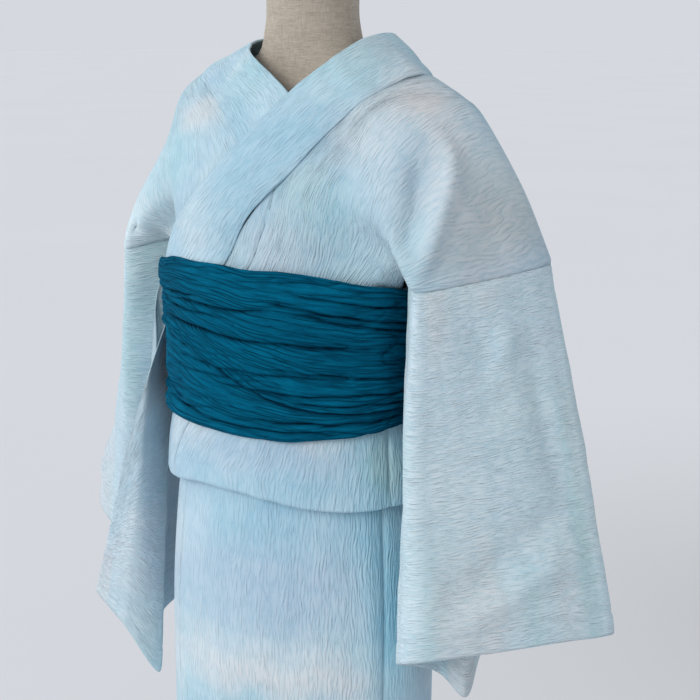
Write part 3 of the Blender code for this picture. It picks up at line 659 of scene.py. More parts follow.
def body_panel(name, left, collar, material):
    """Front and back of one side in one length, with no seam on the shoulder."""
    side = 1.0 if left else -1.0
    shares = eased(BODY_COLUMNS)

    def front_degrees(z):
        seam = side * np.interp(z, OVERLAP[:, 0], OVERLAP[:, 1 if left else 3])
        return seam + (table(SIDE_EDGE, z, 1) - seam) * shares

    def back_degrees(z):
        return 180.0 + (table(SIDE_EDGE, z, 1) - 180.0) * shares

    front = wrapped_rows(front_degrees, left)
    back = wrapped_rows(back_degrees, left, skirt=40, tuck=14, belt=6)
    upper = upper_body(left, collar, front[-1], back[-1], shares)
    grid = mirrored(np.concatenate([front, upper[1:-1], back[::-1]]), side)
    height = soft_waves(grid) + crease_height(mirrored(grid, side), ROBE_CREASES)
    height += seam_groove(grid)
    grid = moved(grid, height, outward=side)
    # what shows of the cut: 30 cm wide behind and 24 cm in front, with its tuck let down
    cloth(name, grid, material, name.replace("robe_", ""),
          outward=side, dye_and_shade=dyed_and_shaded(grid) * seam_shade(grid))
    # the armhole edge, from the front armpit row to the back armpit row
    first = len(front) - 1
    return mirrored(grid[first + 10:first + 91, -1], side)


def overlap_panel(name, left, material):
    """Overlap panel: from its seam to its front edge, up to a point at the collar."""
    side = 1.0 if left else -1.0
    column = 1 if left else 3
    shares = eased(44, 0.5)

    def degrees_at(z):
        seam = np.interp(z, OVERLAP[:, 0], OVERLAP[:, column])
        edge = np.interp(z, OVERLAP[:, 0], OVERLAP[:, column + 1])
        return side * (seam + (edge - seam) * shares)

    rows = wrapped_rows(degrees_at, left)
    tip = np.array([ring(degrees_at(z), z, chest_out(z, left)) for z in np.linspace(1.169, 1.2605, 26)])
    grid = mirrored(np.concatenate([rows, tip]), side)
    grid = moved(grid, soft_waves(grid) + seam_groove(grid, sides=(True, False)), outward=-side)
    # as built, not as cut: a real overlap panel is cut 0.15 by 1.35 net
    cloth(name, grid, material, name.replace("robe_", ""),
          outward=-side, own_width=True, dye_and_shade=dyed_and_shaded(grid) * seam_shade(grid, (True, False)))


def collar_band(name, collar, material):
    """One folded band from the left front's end, round the neck, to the right's.

    Its free edge is a fold: the middle of the band swells by a sine across it.
    """
    count = 420
    inner = curve_through(collar[:, 0], count)[:, None]
    outer = curve_through(collar[:, 1], count)[:, None]
    across = eased(30, 0.7)[None, :, None]
    grid = inner + (outer - inner) * across
    nape = round((count - 1) * CENTRE_BACK_STATION / (len(collar) - 1))
    grid[:nape] = settle_on_chest(grid[:nape], True, COLLAR_RAISE, reach=0.130)
    grid[nape:] = settle_on_chest(grid[nape:], False, COLLAR_RAISE, reach=0.130)
    share = across[..., 0]
    run = np.linspace(0.0, 1.0, count)[:, None]
    height = 0.0010 * np.sin(np.pi * share) + 0.0007 * noise(share * 2.2, run * 34, 8)
    height = height + 0.0005 * noise(share * 6.0, run * 60, 9) + soft_waves(grid)
    height = height - 0.0012 * bell((1 - share) * 0.062, 0.0035)
    grid = moved(grid, height)
    # the collar's dye carries the spot of painted shade at its top
    band_dye_and_shade = dyed_and_shaded(grid)
    band_dye_and_shade += (np.array(DYE_AND_SHADE_COLOURS["sky"]) - band_dye_and_shade) * 0.45 * smooth(1.36, 1.32, grid[..., 2:])
    cloth(name, grid, material, "collar",
          wall=BAND_WALL, dye_and_shade=band_dye_and_shade)


# ---- sleeves ----------------------------------------------------------------
def sleeve(name, wrist, bag, left, armhole, material):
    """Closed bag: its top is the armhole edge, its foot the wrist edge, ruled between.

    The hem swells by a bell and the cloth sags between its folds.
    """
    side = 1.0 if left else -1.0
    arm_wrist = curve_through(np.array(wrist), len(armhole))
    arm_top = armhole

    def bag_curve(stations, edge):
        """Through the bag's stations, starting and ending along the armhole's edge."""
        ends = np.array([edge[-11], edge[-1], *stations, edge[0], edge[10]])
        return along(ends, np.linspace(1.0, len(ends) - 2.0, 24 * len(stations)))[1:-1]

    top = np.concatenate([arm_top, bag_curve([row[1] for row in bag], arm_top)])
    low = np.concatenate([arm_wrist, bag_curve([row[2] for row in bag], arm_wrist)])
    share = np.linspace(0.0, 1.0, 118)[:, None, None]
    grid = top[None] * (1 - share) + low[None] * share
    run = share[..., 0] * 0.335
    around = lengths(np.concatenate([grid, grid[:, :1]], 1), 1)[None]
    around = around[:, :-1] / around[:, -1:]
    height = crease_height(grid, SLEEVE_CREASES) * smooth(0.0, 0.012, run)
    loose = smooth(0.0, 0.03, run)
    height = height + loose * 0.0013 * noise(around * 4, run / 0.060, 21, 4)
    height = height + loose * 0.0006 * noise(around * 8, run / 0.018, 22, 8)
    height = height - 0.0006 * bell(run - 0.315, 0.0018) + 0.0004 * smooth(0.315, 0.320, run)
    grid = mirrored(moved(grid, height, closed=True, outward=-1.0), side)
    sleeve_dye_and_light = dyed_and_shaded(grid)
    # dye and painted light: the near sleeve is washed far paler than the far one, partly its paler dye and
    # partly painted light, as the lamps fall little on it
    sleeve_dye_and_light += (np.array(DYE_AND_SHADE_COLOURS["pale"]) - sleeve_dye_and_light) * (0.70 if left else 0.35)
    for shade, bands, seed, strength in SLEEVE_BANDS:
        band = smooth(0.10, 0.75, noise(around * bands, run / 0.15, seed, bands))[..., None]
        sleeve_dye_and_light += (np.array(DYE_AND_SHADE_COLOURS[shade]) - sleeve_dye_and_light) * strength * band
    # as built, not as cut: a real sleeve is 0.33 by 0.98, so this one is short of cloth
    cloth(name, grid, material, name.replace("robe_", ""),
          closed=True, outward=-side,
          warp_along=1, fineness=1.3, dye_and_shade=sleeve_dye_and_light)


# ---- belt -------------------------------------------------------------------
BELT_CREASES = [
    # degrees from, to,  z from, to,    depth,  half width
    (-48.0, -8.0,        1.155, 1.156,  0.0042, 0.0022),
    (-28.0, 26.0,        1.150, 1.150,  0.0048, 0.0020),
    (-62.0, 8.0,         1.146, 1.140,  0.0036, 0.0020),
    (-40.0, 72.0,        1.128, 1.117,  0.0052, 0.0024),
    (-70.0, 0.0,         1.133, 1.124,  0.0030, 0.0022),
    (14.0, 95.0,         1.160, 1.133,  0.0056, 0.0026),
    (26.0, 98.0,         1.150, 1.126,  0.0060, 0.0026),
    (22.0, 92.0,         1.170, 1.148,  0.0040, 0.0020),
    (-50.0, -10.0,       1.108, 1.106,  0.0026, 0.0020),
    (-45.0, 60.0,        1.096, 1.090,  0.0034, 0.0022),
    (-60.0, 30.0,        1.086, 1.084,  0.0030, 0.0020),
    (10.0, 96.0,         1.099, 1.088,  0.0036, 0.0022),
    (-8.0, 90.0,         1.076, 1.076,  0.0042, 0.0024),
    (20.0, 98.0,         1.066, 1.068,  0.0036, 0.0022),
    (-70.0, -20.0,       1.072, 1.050,  0.0038, 0.0024),
    (-64.0, -4.0,        1.060, 1.042,  0.0032, 0.0022),
    (5.0, 98.0,          1.046, 1.056,  0.0050, 0.0026),
    (-25.0, 60.0,        1.042, 1.040,  0.0036, 0.0020),
    (-130.0, -60.0,      1.140, 1.128,  0.0050, 0.0030),
    (-140.0, -66.0,      1.100, 1.112,  0.0044, 0.0030),
    (-150.0, -72.0,      1.064, 1.072,  0.0044, 0.0028),
    (86.0, 170.0,        1.128, 1.140,  0.0046, 0.0028),
    (90.0, 160.0,        1.092, 1.086,  0.0042, 0.0028),
    (92.0, 150.0,        1.062, 1.070,  0.0042, 0.0028),
]


def belt_out(degrees):
    """Inside of the belt: further out over the laps, which reach the right side."""
    front = smooth(-118.0, -92.0, degrees) * smooth(84.0, 62.0, degrees)
    return BELT_LAYER_BACK + (BELT_LAYER - BELT_LAYER_BACK) * front


def belt_top(degrees):
    return BELT_TOP_Z - 0.019 * smooth(20.0, 90.0, np.abs(degrees))


def belt_low(degrees):
    return BELT_LOW_Z + 0.012 * smooth(20.0, 90.0, degrees)


def wrap_edge(degrees):
    """Lower edge of the upper turn: high at the wearer's right, low at the left."""
    drop = 0.058 * smooth(45.0, -45.0, degrees) - 0.03 * smooth(80.0, 170.0, np.abs(degrees))
    return 1.060 + drop


def to_fold(field, z):
    """Height to the nearest zero of a field: |field| over its slope in height."""
    slope = np.abs(np.gradient(field, axis=0) / np.gradient(z, axis=0))
    return np.abs(field) / np.maximum(slope, 1.0)


def belt_creases(degrees, z, seed):
    """Height of the gathered belt: listed creases and many fine ones.

    A placed crease is a sharp valley exp(-distance / width) along a sagging line.
    The fine ones are round ridges that meet in narrow valleys, where a noise is zero.
    Gives the height and the painted shade of the folds, from 0 to 1.
    """
    height = np.zeros(z.shape)
    dark = np.zeros(z.shape)
    for start, end, z_start, z_end, depth, width in BELT_CREASES:
        share = (degrees - start) / (end - start)
        inside = np.clip(share, 0.0, 1.0)
        line = z_start + (z_end - z_start) * inside - 0.0025 * np.sin(np.pi * inside)
        line = line + 0.0012 * noise(degrees / 9.0, z_start * 90, 31)
        fade = smooth(-0.02, 0.22, share) * smooth(1.02, 0.78, share)
        height -= depth * np.exp(-np.abs(z - line) / (0.75 * width)) * fade
        # painted shade along the valley of each placed crease
        broken = 0.75 + 0.5 * noise(degrees / 5.0, z_start * 70, 33)
        dark += broken * (depth / 0.004) * bell(z + 0.0006 - line, 0.0010 + 0.10 * depth) * fade
    turns = (degrees + 180.0) / 360.0
    drift = 0.006 * noise(turns * 16, z / 0.05, seed, 16) + 0.002 * noise(turns * 48, z / 0.02, seed + 1, 48)
    level = z + drift
    broad = to_fold(noise(turns * 8, level / 0.0150, seed + 2, 8), z)
    fine = to_fold(noise(turns * 18, level / 0.0068, seed + 3, 18), z)
    finest = noise(turns * 60, level / 0.0036, seed + 4, 60)
    gather = 0.65 + 0.5 * smooth(10.0, 80.0, np.abs(degrees))
    ridges = 0.0024 * (1 - np.exp(-broad / 0.0035)) + 0.0014 * (1 - np.exp(-fine / 0.0020))
    height = 1.35 * height + gather * (ridges + 0.00045 * finest) - 0.0020
    # narrow valleys between the round ridges gather shade
    dark += gather * (0.55 * bell(broad, 0.0008) + 0.38 * bell(fine, 0.0005))
    return height, np.clip(dark, 0.0, 1.0)


def belt_turn(name, node, low, high, turn, seed, material):
    """One turn of the belt between two heights that vary round the waist.

    Its top edge rolls in: the height drops by a bell towards it. At the lower edge it drops the same way on
    the lower turn and rises by a bell on the upper turn.
    """
    columns, rows = 352, 108
    degrees = np.arange(columns)[None] * 360.0 / columns - 180.0
    share = eased(rows, 0.5)[:, None]
    ruffle = 0.0016 * noise((degrees + 180.0) / 360.0 * 26, 3.5, seed + 7, 26)
    z = (low(degrees) + ruffle) * (1 - share) + (high(degrees) + ruffle) * share
    out = belt_out(degrees) + turn + 0.0012 * np.sin(np.pi * share) + BELT_WALL / 2
    grid = ring(np.broadcast_to(degrees, z.shape), np.clip(z, 1.03, 1.16), out + 0.0 * z)
    height, dark = belt_creases(np.broadcast_to(degrees, z.shape), z, seed)
    tall = high(degrees) - low(degrees)
    height = height - 0.0020 * bell((1 - share) * tall, 0.0022)
    if node == "belt_upper_turn":
        height = height + 0.0024 * bell(share * tall, 0.0040)
    else:
        # shade gathers under the free edge of the turn above
        height = height - 0.0020 * bell(share * tall, 0.0022)
        dark = np.maximum(dark, 1.0 * bell(z - wrap_edge(degrees) + 0.0016 - ruffle, 0.0024))
    grid[..., 2] = z
    grid = moved(grid, height, closed=True)
    # the belt's colour attribute holds only its painted fold shade
    cloth(name, grid, material, node,
          wall=BELT_WALL, closed=True, warp_along=1, dye_and_shade=np.repeat(dark[..., None], 3, -1))


def belt_knot(material):
    """The knot, an upright pinched band, and the two hanging ends below it."""
    back = table(RING, 1.10, 2) + BELT_LAYER_BACK + BELT_WALL + 0.006
    across, z = np.meshgrid(np.linspace(-1.0, 1.0, 66), np.linspace(1.045, 1.180, 66))
    pinch = 1.0 - 0.10 * np.sin(np.pi * (z - 1.045) / 0.135)
    depth = back - 0.004 + 0.018 * np.sqrt(np.clip(1 - 0.85 * across ** 2, 0, 1))
    grid = np.stack([-0.036 * across * pinch, depth, z], -1)
    height = 0.0022 * np.abs(noise(across * 5 + 7, z / 0.060, 61))
    height = height + 0.0010 * noise(across * 12 + 9, z / 0.04, 62)
    grid = moved(grid, height)
    cloth("belt_knot", grid, material, "belt_knot",
          wall=BELT_WALL)
    for name, side in (("belt_tail_left", 1.0), ("belt_tail_right", -1.0)):
        share = np.linspace(0.0, 1.0, 96)[:, None]
        across = np.linspace(-1.0, 1.0, 40)[None]
        x = side * (0.030 + 0.010 * share) + 0.024 * across * (1 + 0.25 * share)
        y = back + 0.0045 + 0.010 * share + 0.002 * np.cos(np.pi * across) * share + 0 * x
        y = y + 0.0020 * np.sin(across * 5.2 + side + share * 2.0) * smooth(0.0, 0.3, share)
        y = y + 0.0012 * noise(across * 7 + 20, share * 3, 63 + int(side))
        tail_z = 1.040 - 0.235 * share - 0.018 * side * across * share
        grid = np.stack(np.broadcast_arrays(x, y, tail_z), -1)
        cloth(name, grid, material, name,
              wall=BELT_WALL, outward=-1.0)


# ---- dress form and stand ---------------------------------------------------
def solid(name, grid, material, node):
    """Closed body of revolution-like rows: a ring grid with its two ends capped."""
    rows, columns = grid.shape[:2]
    index = np.arange(rows * columns).reshape(rows, columns)
    index = np.concatenate([index, index[:, :1]], axis=1)
    quads = np.stack([index[:-1, :-1], index[:-1, 1:], index[1:, 1:], index[1:, :-1]], -1)
    faces = quads.reshape(-1, 4).tolist()
    faces += [index[0, :-1][::-1].tolist(), index[-1, :-1].tolist()]
    mesh = bpy.data.meshes.new(name)
    mesh.from_pydata(grid.reshape(-1, 3).tolist(), [], faces)
    mesh.shade_smooth()
    mesh.polygons[-1].use_smooth = False
    mesh.polygons[-2].use_smooth = False
    mesh.materials.append(material)
    piece = bpy.data.objects.new(name, mesh)
    bpy.context.scene.collection.objects.link(piece)
    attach(piece, "root")
    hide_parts(node)
    return piece


def dress_form(material):
    """Smooth limbless torso and neck: a stack of ellipses, with its cover's seams.

    A seam is a bell trough down the front, the back and the sides.
    """
    z = np.concatenate([[0.780, 0.783, 0.788], np.linspace(0.795, 1.478, 110), [1.4795, 1.480]])[:, None]
    turn = np.linspace(0.0, 2 * np.pi, 145)[:-1][None]
    width, depth, behind = (table(FORM, z, c) for c in (1, 2, 3))
    seam = 0.0006 * sum(bell(np.angle(np.exp(1j * (turn - at))) * width, 0.0016)
                        for at in (0.0, np.pi / 2, np.pi, 3 * np.pi / 2))
    round_off = 0.002 * bell(z - 1.480, 0.0018)
    x = (width - seam - round_off) * np.sin(turn)
    y = behind - (depth - seam - round_off) * np.cos(turn)
    grid = np.stack([x, y, z + 0 * turn], -1)
    solid("form_torso", grid, material, "dress_form")


def turned(name, profile, material, node, slot, y=0.0, steps=96):
    """Turned piece: a profile of radius and height, from its foot up, carried round."""
    radius, height = (np.array(column)[:, None] for column in zip(*profile))
    turn = np.linspace(0.0, 2 * np.pi, steps + 1)[:-1][None]
    grid = np.stack(np.broadcast_arrays(radius * np.sin(turn), y - radius * np.cos(turn), height), -1)
    solid(name, grid, material, node)


def stand(wood, metal):
    top = NECK_TOP_Z + 0.0004
    turned("neck_cap", [(0.0400, top), (0.0415, top + 0.0010), (0.0420, top + 0.0030),
                        (0.0416, top + 0.0050), (0.0405, top + 0.0072), (0.0380, top + 0.0090),
                        (0.0340, top + 0.0105), (0.0300, top + 0.0113), (0.0200, top + CAP_HEIGHT - 0.0002),
                        (0.0040, top + CAP_HEIGHT)], wood, "neck_cap", "cap wood", y=NECK_Y)
    low, high = HUB_HEIGHT + 0.0004, 0.7796
    turned("pole", [(POLE_RADIUS - 0.001, low), (POLE_RADIUS, low + 0.001), (POLE_RADIUS, 0.30),
                    (POLE_RADIUS, 0.55), (POLE_RADIUS, high - 0.001), (POLE_RADIUS - 0.001, high)],
           metal, "pole", "stand metal", steps=48)
    turned("foot", [(FOOT_RADIUS - 0.002, 0.0), (FOOT_RADIUS, 0.002), (FOOT_RADIUS, FOOT_HEIGHT - 0.009),
                    (FOOT_RADIUS - 0.0015, FOOT_HEIGHT - 0.006), (FOOT_RADIUS - 0.006, FOOT_HEIGHT - 0.004),
                    (0.100, FOOT_HEIGHT - 0.0018), (0.036, FOOT_HEIGHT), (0.031, FOOT_HEIGHT + 0.0015),
                    (0.0285, FOOT_HEIGHT + 0.006), (0.0262, HUB_HEIGHT - 0.006),
                    (0.0250, HUB_HEIGHT - 0.002), (0.0220, HUB_HEIGHT)],
           metal, "foot", "stand metal")


# ---- dye, painted shade and painted light -----------------------------------
DYE_AND_SHADE_COLOURS = {
    "aqua":     (0.375, 0.565, 0.640),
    "sky":      (0.330, 0.520, 0.640),
    "lavender": (0.385, 0.505, 0.625),
    "white":    (0.585, 0.645, 0.690),
    "peach":    (0.640, 0.610, 0.615),
    "mint":     (0.400, 0.600, 0.620),
    # the teal and the grey below are painted shade colours, and pale also lends painted light
    "shade_teal":     (0.330, 0.650, 0.790),
    "pale":     (0.610, 0.715, 0.765),
    "shade_grey":     (0.330, 0.375, 0.385),
}
# Where the dye lies, and where painted shade and painted highlights lie: colour, strength, reach sideways,
# reach in height, x, y, z.
DYE_AND_LIGHT_SPOTS = [
    ("peach",    0.90, 0.035, 0.020, 0.146, -0.011, 1.335),
    ("white",    0.75, 0.040, 0.040, 0.125, -0.047, 1.310),
    ("peach",    0.70, 0.035, 0.018, -0.079, -0.052, 1.318),
    ("peach",    0.65, 0.022, 0.012, 0.231, -0.028, 1.177),
    ("peach",    0.45, 0.040, 0.025, 0.262, -0.040, 0.892),
    ("aqua",     0.80, 0.040, 0.030, 0.081, -0.022, 1.367),
    ("sky",      0.80, 0.030, 0.035, 0.061, -0.080, 1.291),
    ("white",    0.80, 0.035, 0.025, -0.040, -0.105, 1.215),
    ("aqua",     0.95, 0.030, 0.040, -0.018, -0.047, 1.349),
    ("sky",      0.90, 0.160, 0.045, 0.055, -0.090, 0.945),
    ("lavender", 0.90, 0.160, 0.040, 0.057, -0.094, 0.880),
    ("sky",      0.80, 0.150, 0.022, 0.055, -0.090, 0.992),
    ("white",    0.85, 0.160, 0.030, 0.059, -0.097, 0.805),
    ("peach",    0.45, 0.120, 0.015, 0.059, -0.097, 0.795),
    ("sky",      0.60, 0.160, 0.060, 0.059, -0.097, 0.680),
    ("mint",     0.60, 0.160, 0.040, 0.059, -0.097, 0.540),
    ("lavender", 0.60, 0.160, 0.040, 0.059, -0.097, 0.420),
    ("white",    0.70, 0.160, 0.035, 0.059, -0.097, 0.300),
    ("aqua",     0.70, 0.160, 0.050, 0.059, -0.097, 0.170),
    # painted light: this teal lifts the side strip of the body that lies in the sleeve's shadow
    ("shade_teal",     0.85, 0.030, 0.140, 0.142, -0.026, 0.880),
    # painted shade and highlight on the near upper arm: the grey spots darken its outer side, turned from
    # the light, and the white one lights the shoulder ridge
    ("shade_grey",     0.85, 0.040, 0.045, 0.223, 0.020, 1.245),
    ("white",    0.70, 0.016, 0.050, 0.195, -0.030, 1.262),
    ("peach",    0.50, 0.060, 0.045, 0.212, -0.030, 1.225),
    ("shade_grey",     0.40, 0.020, 0.060, 0.212, -0.004, 1.268),
    ("peach",    0.50, 0.022, 0.030, 0.182, -0.014, 1.304),
    ("shade_grey",     0.35, 0.030, 0.030, 0.215, -0.030, 1.215),
    # painted shade: grey on the collar top beside the neck's shaded side
    ("shade_grey",     0.35, 0.030, 0.020, 0.100, -0.010, 1.380),
    # painted shade and highlight at the armpit ridge: teal in the valley before it, white along it
    ("shade_teal",     0.30, 0.016, 0.035, 0.188, -0.056, 1.222),
    ("white",    0.45, 0.016, 0.040, 0.200, -0.050, 1.222),
    ("aqua",     0.80, 0.045, 0.030, 0.090, -0.080, 1.245),
    ("white",    0.40, 0.040, 0.020, 0.060, -0.095, 1.205),
    ("lavender", 0.80, 0.090, 0.018, 0.040, -0.095, 1.015),
    ("mint",     0.90, 0.022, 0.030, 0.133, -0.034, 1.002),
    ("lavender", 0.35, 0.030, 0.050, 0.209, -0.069, 1.130),
    ("mint",     0.55, 0.045, 0.040, 0.262, -0.004, 1.090),
    ("aqua",     0.35, 0.045, 0.080, 0.285, 0.000, 0.960),
    ("white",    0.65, 0.040, 0.050, 0.237, -0.057, 1.010),
    ("mint",     0.50, 0.030, 0.040, 0.215, -0.080, 0.930),
    ("sky",      0.80, 0.030, 0.060, -0.165, -0.057, 1.078),
    ("white",    0.60, 0.030, 0.040, -0.178, -0.069, 0.853),
    # painted light: pale spot lightens the far upper arm, which faces away from the lamps
    ("pale",     0.95, 0.060, 0.050, -0.170, -0.045, 1.190),
]


# Soft bands of colour along the hang of a sleeve: colour, bands round it, seed, strength.
SLEEVE_BANDS = [
    ("mint",  22, 51, 0.45),
    ("peach", 18, 52, 0.40),
    ("sky",   16, 53, 0.30),
]


def dyed_and_shaded(grid):
    """Dye at each point: soft clouds of three colours, then the placed spots over them, some of them painted
    shade and painted light.
    """
    x, y, z = np.moveaxis(grid, -1, 0)
    turn = np.arctan2(x, -y)
    cloud = 0.5 + 0.5 * noise(turn / 0.55 + 20, z / 0.085 + 3, 41)
    wash = 0.5 + 0.5 * noise(turn / 0.40 + 8, z / 0.060 + 7, 42)
    drift = 0.010 * noise(turn / 0.30 + 30, z / 0.07, 43)
    colour = np.array(DYE_AND_SHADE_COLOURS["aqua"]) + (np.array(DYE_AND_SHADE_COLOURS["lavender"]) - DYE_AND_SHADE_COLOURS["aqua"]) * cloud[..., None]
    pale = smooth(0.62, 0.95, wash)[..., None] * 0.7
    colour = colour + (np.array(DYE_AND_SHADE_COLOURS["white"]) - colour) * pale
    for name, strength, side_reach, reach, spot_x, spot_y, spot_z in DYE_AND_LIGHT_SPOTS:
        across = ((x - spot_x) ** 2 + (y - spot_y) ** 2) / side_reach ** 2
        near = np.exp(-(across + ((z + drift - spot_z) / reach) ** 2))
        near = strength * smooth(-0.15, 1.0, near)[..., None] * smooth(0.0, 0.15, near)[..., None]
        colour = colour + (np.array(DYE_AND_SHADE_COLOURS[name]) - colour) * near
    return colour


# ---- materials --------------------------------------------------------------
class Value:
    """A shader socket; arithmetic on it adds Math nodes to its tree."""

    def __init__(self, finish, socket):
        self.finish, self.socket = finish, socket

    def _math(self, operation, first, second):
        return self.finish.node("ShaderNodeMath", {"operation": operation}, {0: first, 1: second})

    def __add__(self, other): return self._math("ADD", self, other)
    def __radd__(self, other): return self._math("ADD", other, self)
    def __sub__(self, other): return self._math("SUBTRACT", self, other)
    def __rsub__(self, other): return self._math("SUBTRACT", other, self)
    def __mul__(self, other): return self._math("MULTIPLY", self, other)
    def __rmul__(self, other): return self._math("MULTIPLY", other, self)
    def __pow__(self, other): return self._math("POWER", self, other)
    def __abs__(self): return self._math("ABSOLUTE", self, 0.0)


class Finish:
    """A material: constants are set on its shader, and `node` adds any other node."""

    def __init__(self, name, **constants):
        self.material = bpy.data.materials.new(name)
        self.material.use_nodes = True
        self.tree = self.material.node_tree
        self.shader = self.tree.nodes["Principled BSDF"]
        for socket, value in constants.items():
            self.shader.inputs[socket.replace("_", " ")].default_value = value

    def put(self, socket, value):
        if isinstance(value, Value):
            self.tree.links.new(value.socket, socket)
        else:
            socket.default_value = value

    def node(self, kind, settings=(), sockets=(), output=0):
        made = self.tree.nodes.new(kind)
        for key, value in dict(settings).items():
            if key == "ramp":
                for i, (place, colour) in enumerate(value):
                    stop = made.color_ramp.elements[i] if i < 2 else made.color_ramp.elements.new(place)
                    stop.position, stop.color = place, (*colour, 1.0)
            else:
                setattr(made, key, value)
        for key, value in dict(sockets).items():
            self.put(made.inputs[key], value)
        return Value(self, made.outputs[output])

    def mix(self, share, first, second):
        return self.node("ShaderNodeMix", {"data_type": "RGBA"}, {0: share, 6: first, 7: second}, 2)

    def stretched(self, vector, by):
        return self.node("ShaderNodeVectorMath", {"operation": "MULTIPLY"}, {0: vector, 1: by})

    def added(self, vector, other):
        return self.node("ShaderNodeVectorMath", {"operation": "ADD"}, {0: vector, 1: other})

    def noise(self, vector, detail=2.0, roughness=0.5, output=0):
        return self.node("ShaderNodeTexNoise", {"noise_dimensions": "3D"},
                         {"Vector": vector, "Scale": 1.0, "Detail": detail, "Roughness": roughness}, output)

    def wandering(self, vector, frequency, reach):
        """The vector moved by a slow noise, so that straight lines wander."""
        drift = self.added(self.noise(self.stretched(vector, frequency), 1.0, output=1), (-0.5, -0.5, -0.5))
        return self.added(vector, self.stretched(drift, reach))

    def finish(self, colour=None, roughness=None, height=None, distance=0.001, strength=1.0):
        if colour is not None:
            self.put(self.shader.inputs["Base Color"], colour)
        if roughness is not None:
            self.put(self.shader.inputs["Roughness"], roughness)
        if height is not None:
            bump = self.node("ShaderNodeBump", {},
                             {"Height": height, "Distance": distance, "Strength": strength})
            self.put(self.shader.inputs["Normal"], bump)
        return self.material


def crepe_cotton():
    """Robe cotton: fine crinkles along the warp in dyed colours, with painted shade in the crinkles'
    valleys.
    """
    f = Finish("robe crepe cotton", Roughness=0.95, Specular_IOR_Level=0.22, Sheen_Weight=0.10)
    weave = f.node("ShaderNodeUVMap", {"uv_map": "weave"})
    line = f.wandering(weave, (85.0, 48.0, 1.0), (0.0032, 0.0045, 0.0))
    line = f.wandering(line, (14.0, 11.0, 1.0), (0.010, 0.0, 0.0))
    crinkle = f.noise(f.stretched(line, (310.0, 40.0, 1.0)), 0.0)
    fine = f.noise(f.stretched(line, (640.0, 92.0, 1.0)), 1.5)
    tuft = f.noise(f.stretched(weave, (95.0, 60.0, 1.0)), 1.0)
    thread = f.noise(f.stretched(weave, (2100.0, 1500.0, 1.0)), 1.0)
    ridges = abs(crinkle * 2.0 - 1.0) ** 0.75
    height = ridges * 0.60 * (tuft + 0.35) + fine * 0.50 + thread * 0.10
    dye_and_shade = f.node("ShaderNodeVertexColor", {"layer_name": "dye_and_shade"})
    patch = f.noise(f.stretched(weave, (14.0, 9.0, 1.0)), 3.0)
    # painted shade: the dye darkens and cools towards the valleys of the crinkle height
    depth = f.node("ShaderNodeMapRange", {"clamp": True},
                   {"Value": ridges * 0.45 + fine * 0.65, "From Min": 0.22, "From Max": 0.56,
                    "To Min": 0.0, "To Max": 1.0})
    crinkle_shade_colour = f.mix(1.0, dye_and_shade, (0.76, 0.875, 0.915, 1.0))
    f.tree.nodes[-1].blend_type = "MULTIPLY"
    colour = f.mix(depth, crinkle_shade_colour, dye_and_shade)
    veil = f.node("ShaderNodeMapRange", {"clamp": True},
                  {"Value": patch, "From Min": 0.40, "From Max": 0.75, "To Min": 0.0, "To Max": 0.35})
    colour = f.mix(veil, colour, (0.66, 0.76, 0.82, 1.0))
    return f.finish(colour, None, height, 0.0019, 1.0)


def belt_crepe():
    """Belt cloth: deep teal crepe, with fine creases along its length, and painted shade in its folds and in
    its crinkles' valleys.
    """
    f = Finish("belt crepe", Roughness=0.95, Specular_IOR_Level=0.03)
    weave = f.node("ShaderNodeUVMap", {"uv_map": "weave"})
    line = f.wandering(weave, (30.0, 14.0, 1.0), (0.006, 0.01, 0.0))
    fine = f.noise(f.stretched(line, (560.0, 44.0, 1.0)), 2.0)
    fold = abs(f.noise(f.stretched(line, (170.0, 9.0, 1.0)), 1.0) * 2.0 - 1.0)
    thread = f.noise(f.stretched(weave, (1500.0, 900.0, 1.0)), 1.0)
    patch = f.noise(f.stretched(weave, (26.0, 12.0, 1.0)), 2.0)
    # painted shade and tone: the teal darkens where the fine crinkle height is low, and varies at random
    # with the patches
    shade = fine * 0.60 + patch * 0.40
    colour = f.node("ShaderNodeValToRGB",
                    {"ramp": [(0.34, (0.0003, 0.062, 0.122)), (0.66, (0.0006, 0.125, 0.225))]},
                    {"Fac": shade})
    # painted shade of the folds: the mesh's fold shade and the narrow folds of the noise darken the teal to
    # near black
    painted_fold_shade = f.node("ShaderNodeVertexColor", {"layer_name": "dye_and_shade"})
    narrow = f.node("ShaderNodeMapRange", {"clamp": True},
                    {"Value": fold, "From Min": 0.0, "From Max": 0.11, "To Min": 0.55, "To Max": 0.0})
    depth = f.node("ShaderNodeMath", {"operation": "MAXIMUM", "use_clamp": True},
                   {0: painted_fold_shade, 1: narrow * (patch + 0.35)})
    colour = f.mix(depth * 0.88, colour, (0.0003, 0.012, 0.030, 1.0))
    height = fine * 0.8 + thread * 0.25 - narrow * 0.9
    return f.finish(colour, None, height, 0.0020, 1.0)


def form_linen():
    """Form cover: plain linen weave, two crossed runs of thread with slubs."""
    f = Finish("form linen", Roughness=0.93, Sheen_Weight=0.15)
    place = f.node("ShaderNodeTexCoord", {}, {}, 3)
    down = f.noise(f.stretched(place, (1500.0, 1500.0, 110.0)), 1.0)
    across = f.noise(f.stretched(place, (130.0, 130.0, 1700.0)), 1.0)
    slub = f.noise(f.stretched(place, (60.0, 60.0, 420.0)), 2.0)
    shade = down * 0.35 + across * 0.40 + slub * 0.25
    colour = f.node("ShaderNodeValToRGB",
                    {"ramp": [(0.32, (0.31, 0.262, 0.208)), (0.68, (0.515, 0.452, 0.382))]},
                    {"Fac": shade})
    return f.finish(colour, None, down + across, 0.0006, 0.8)


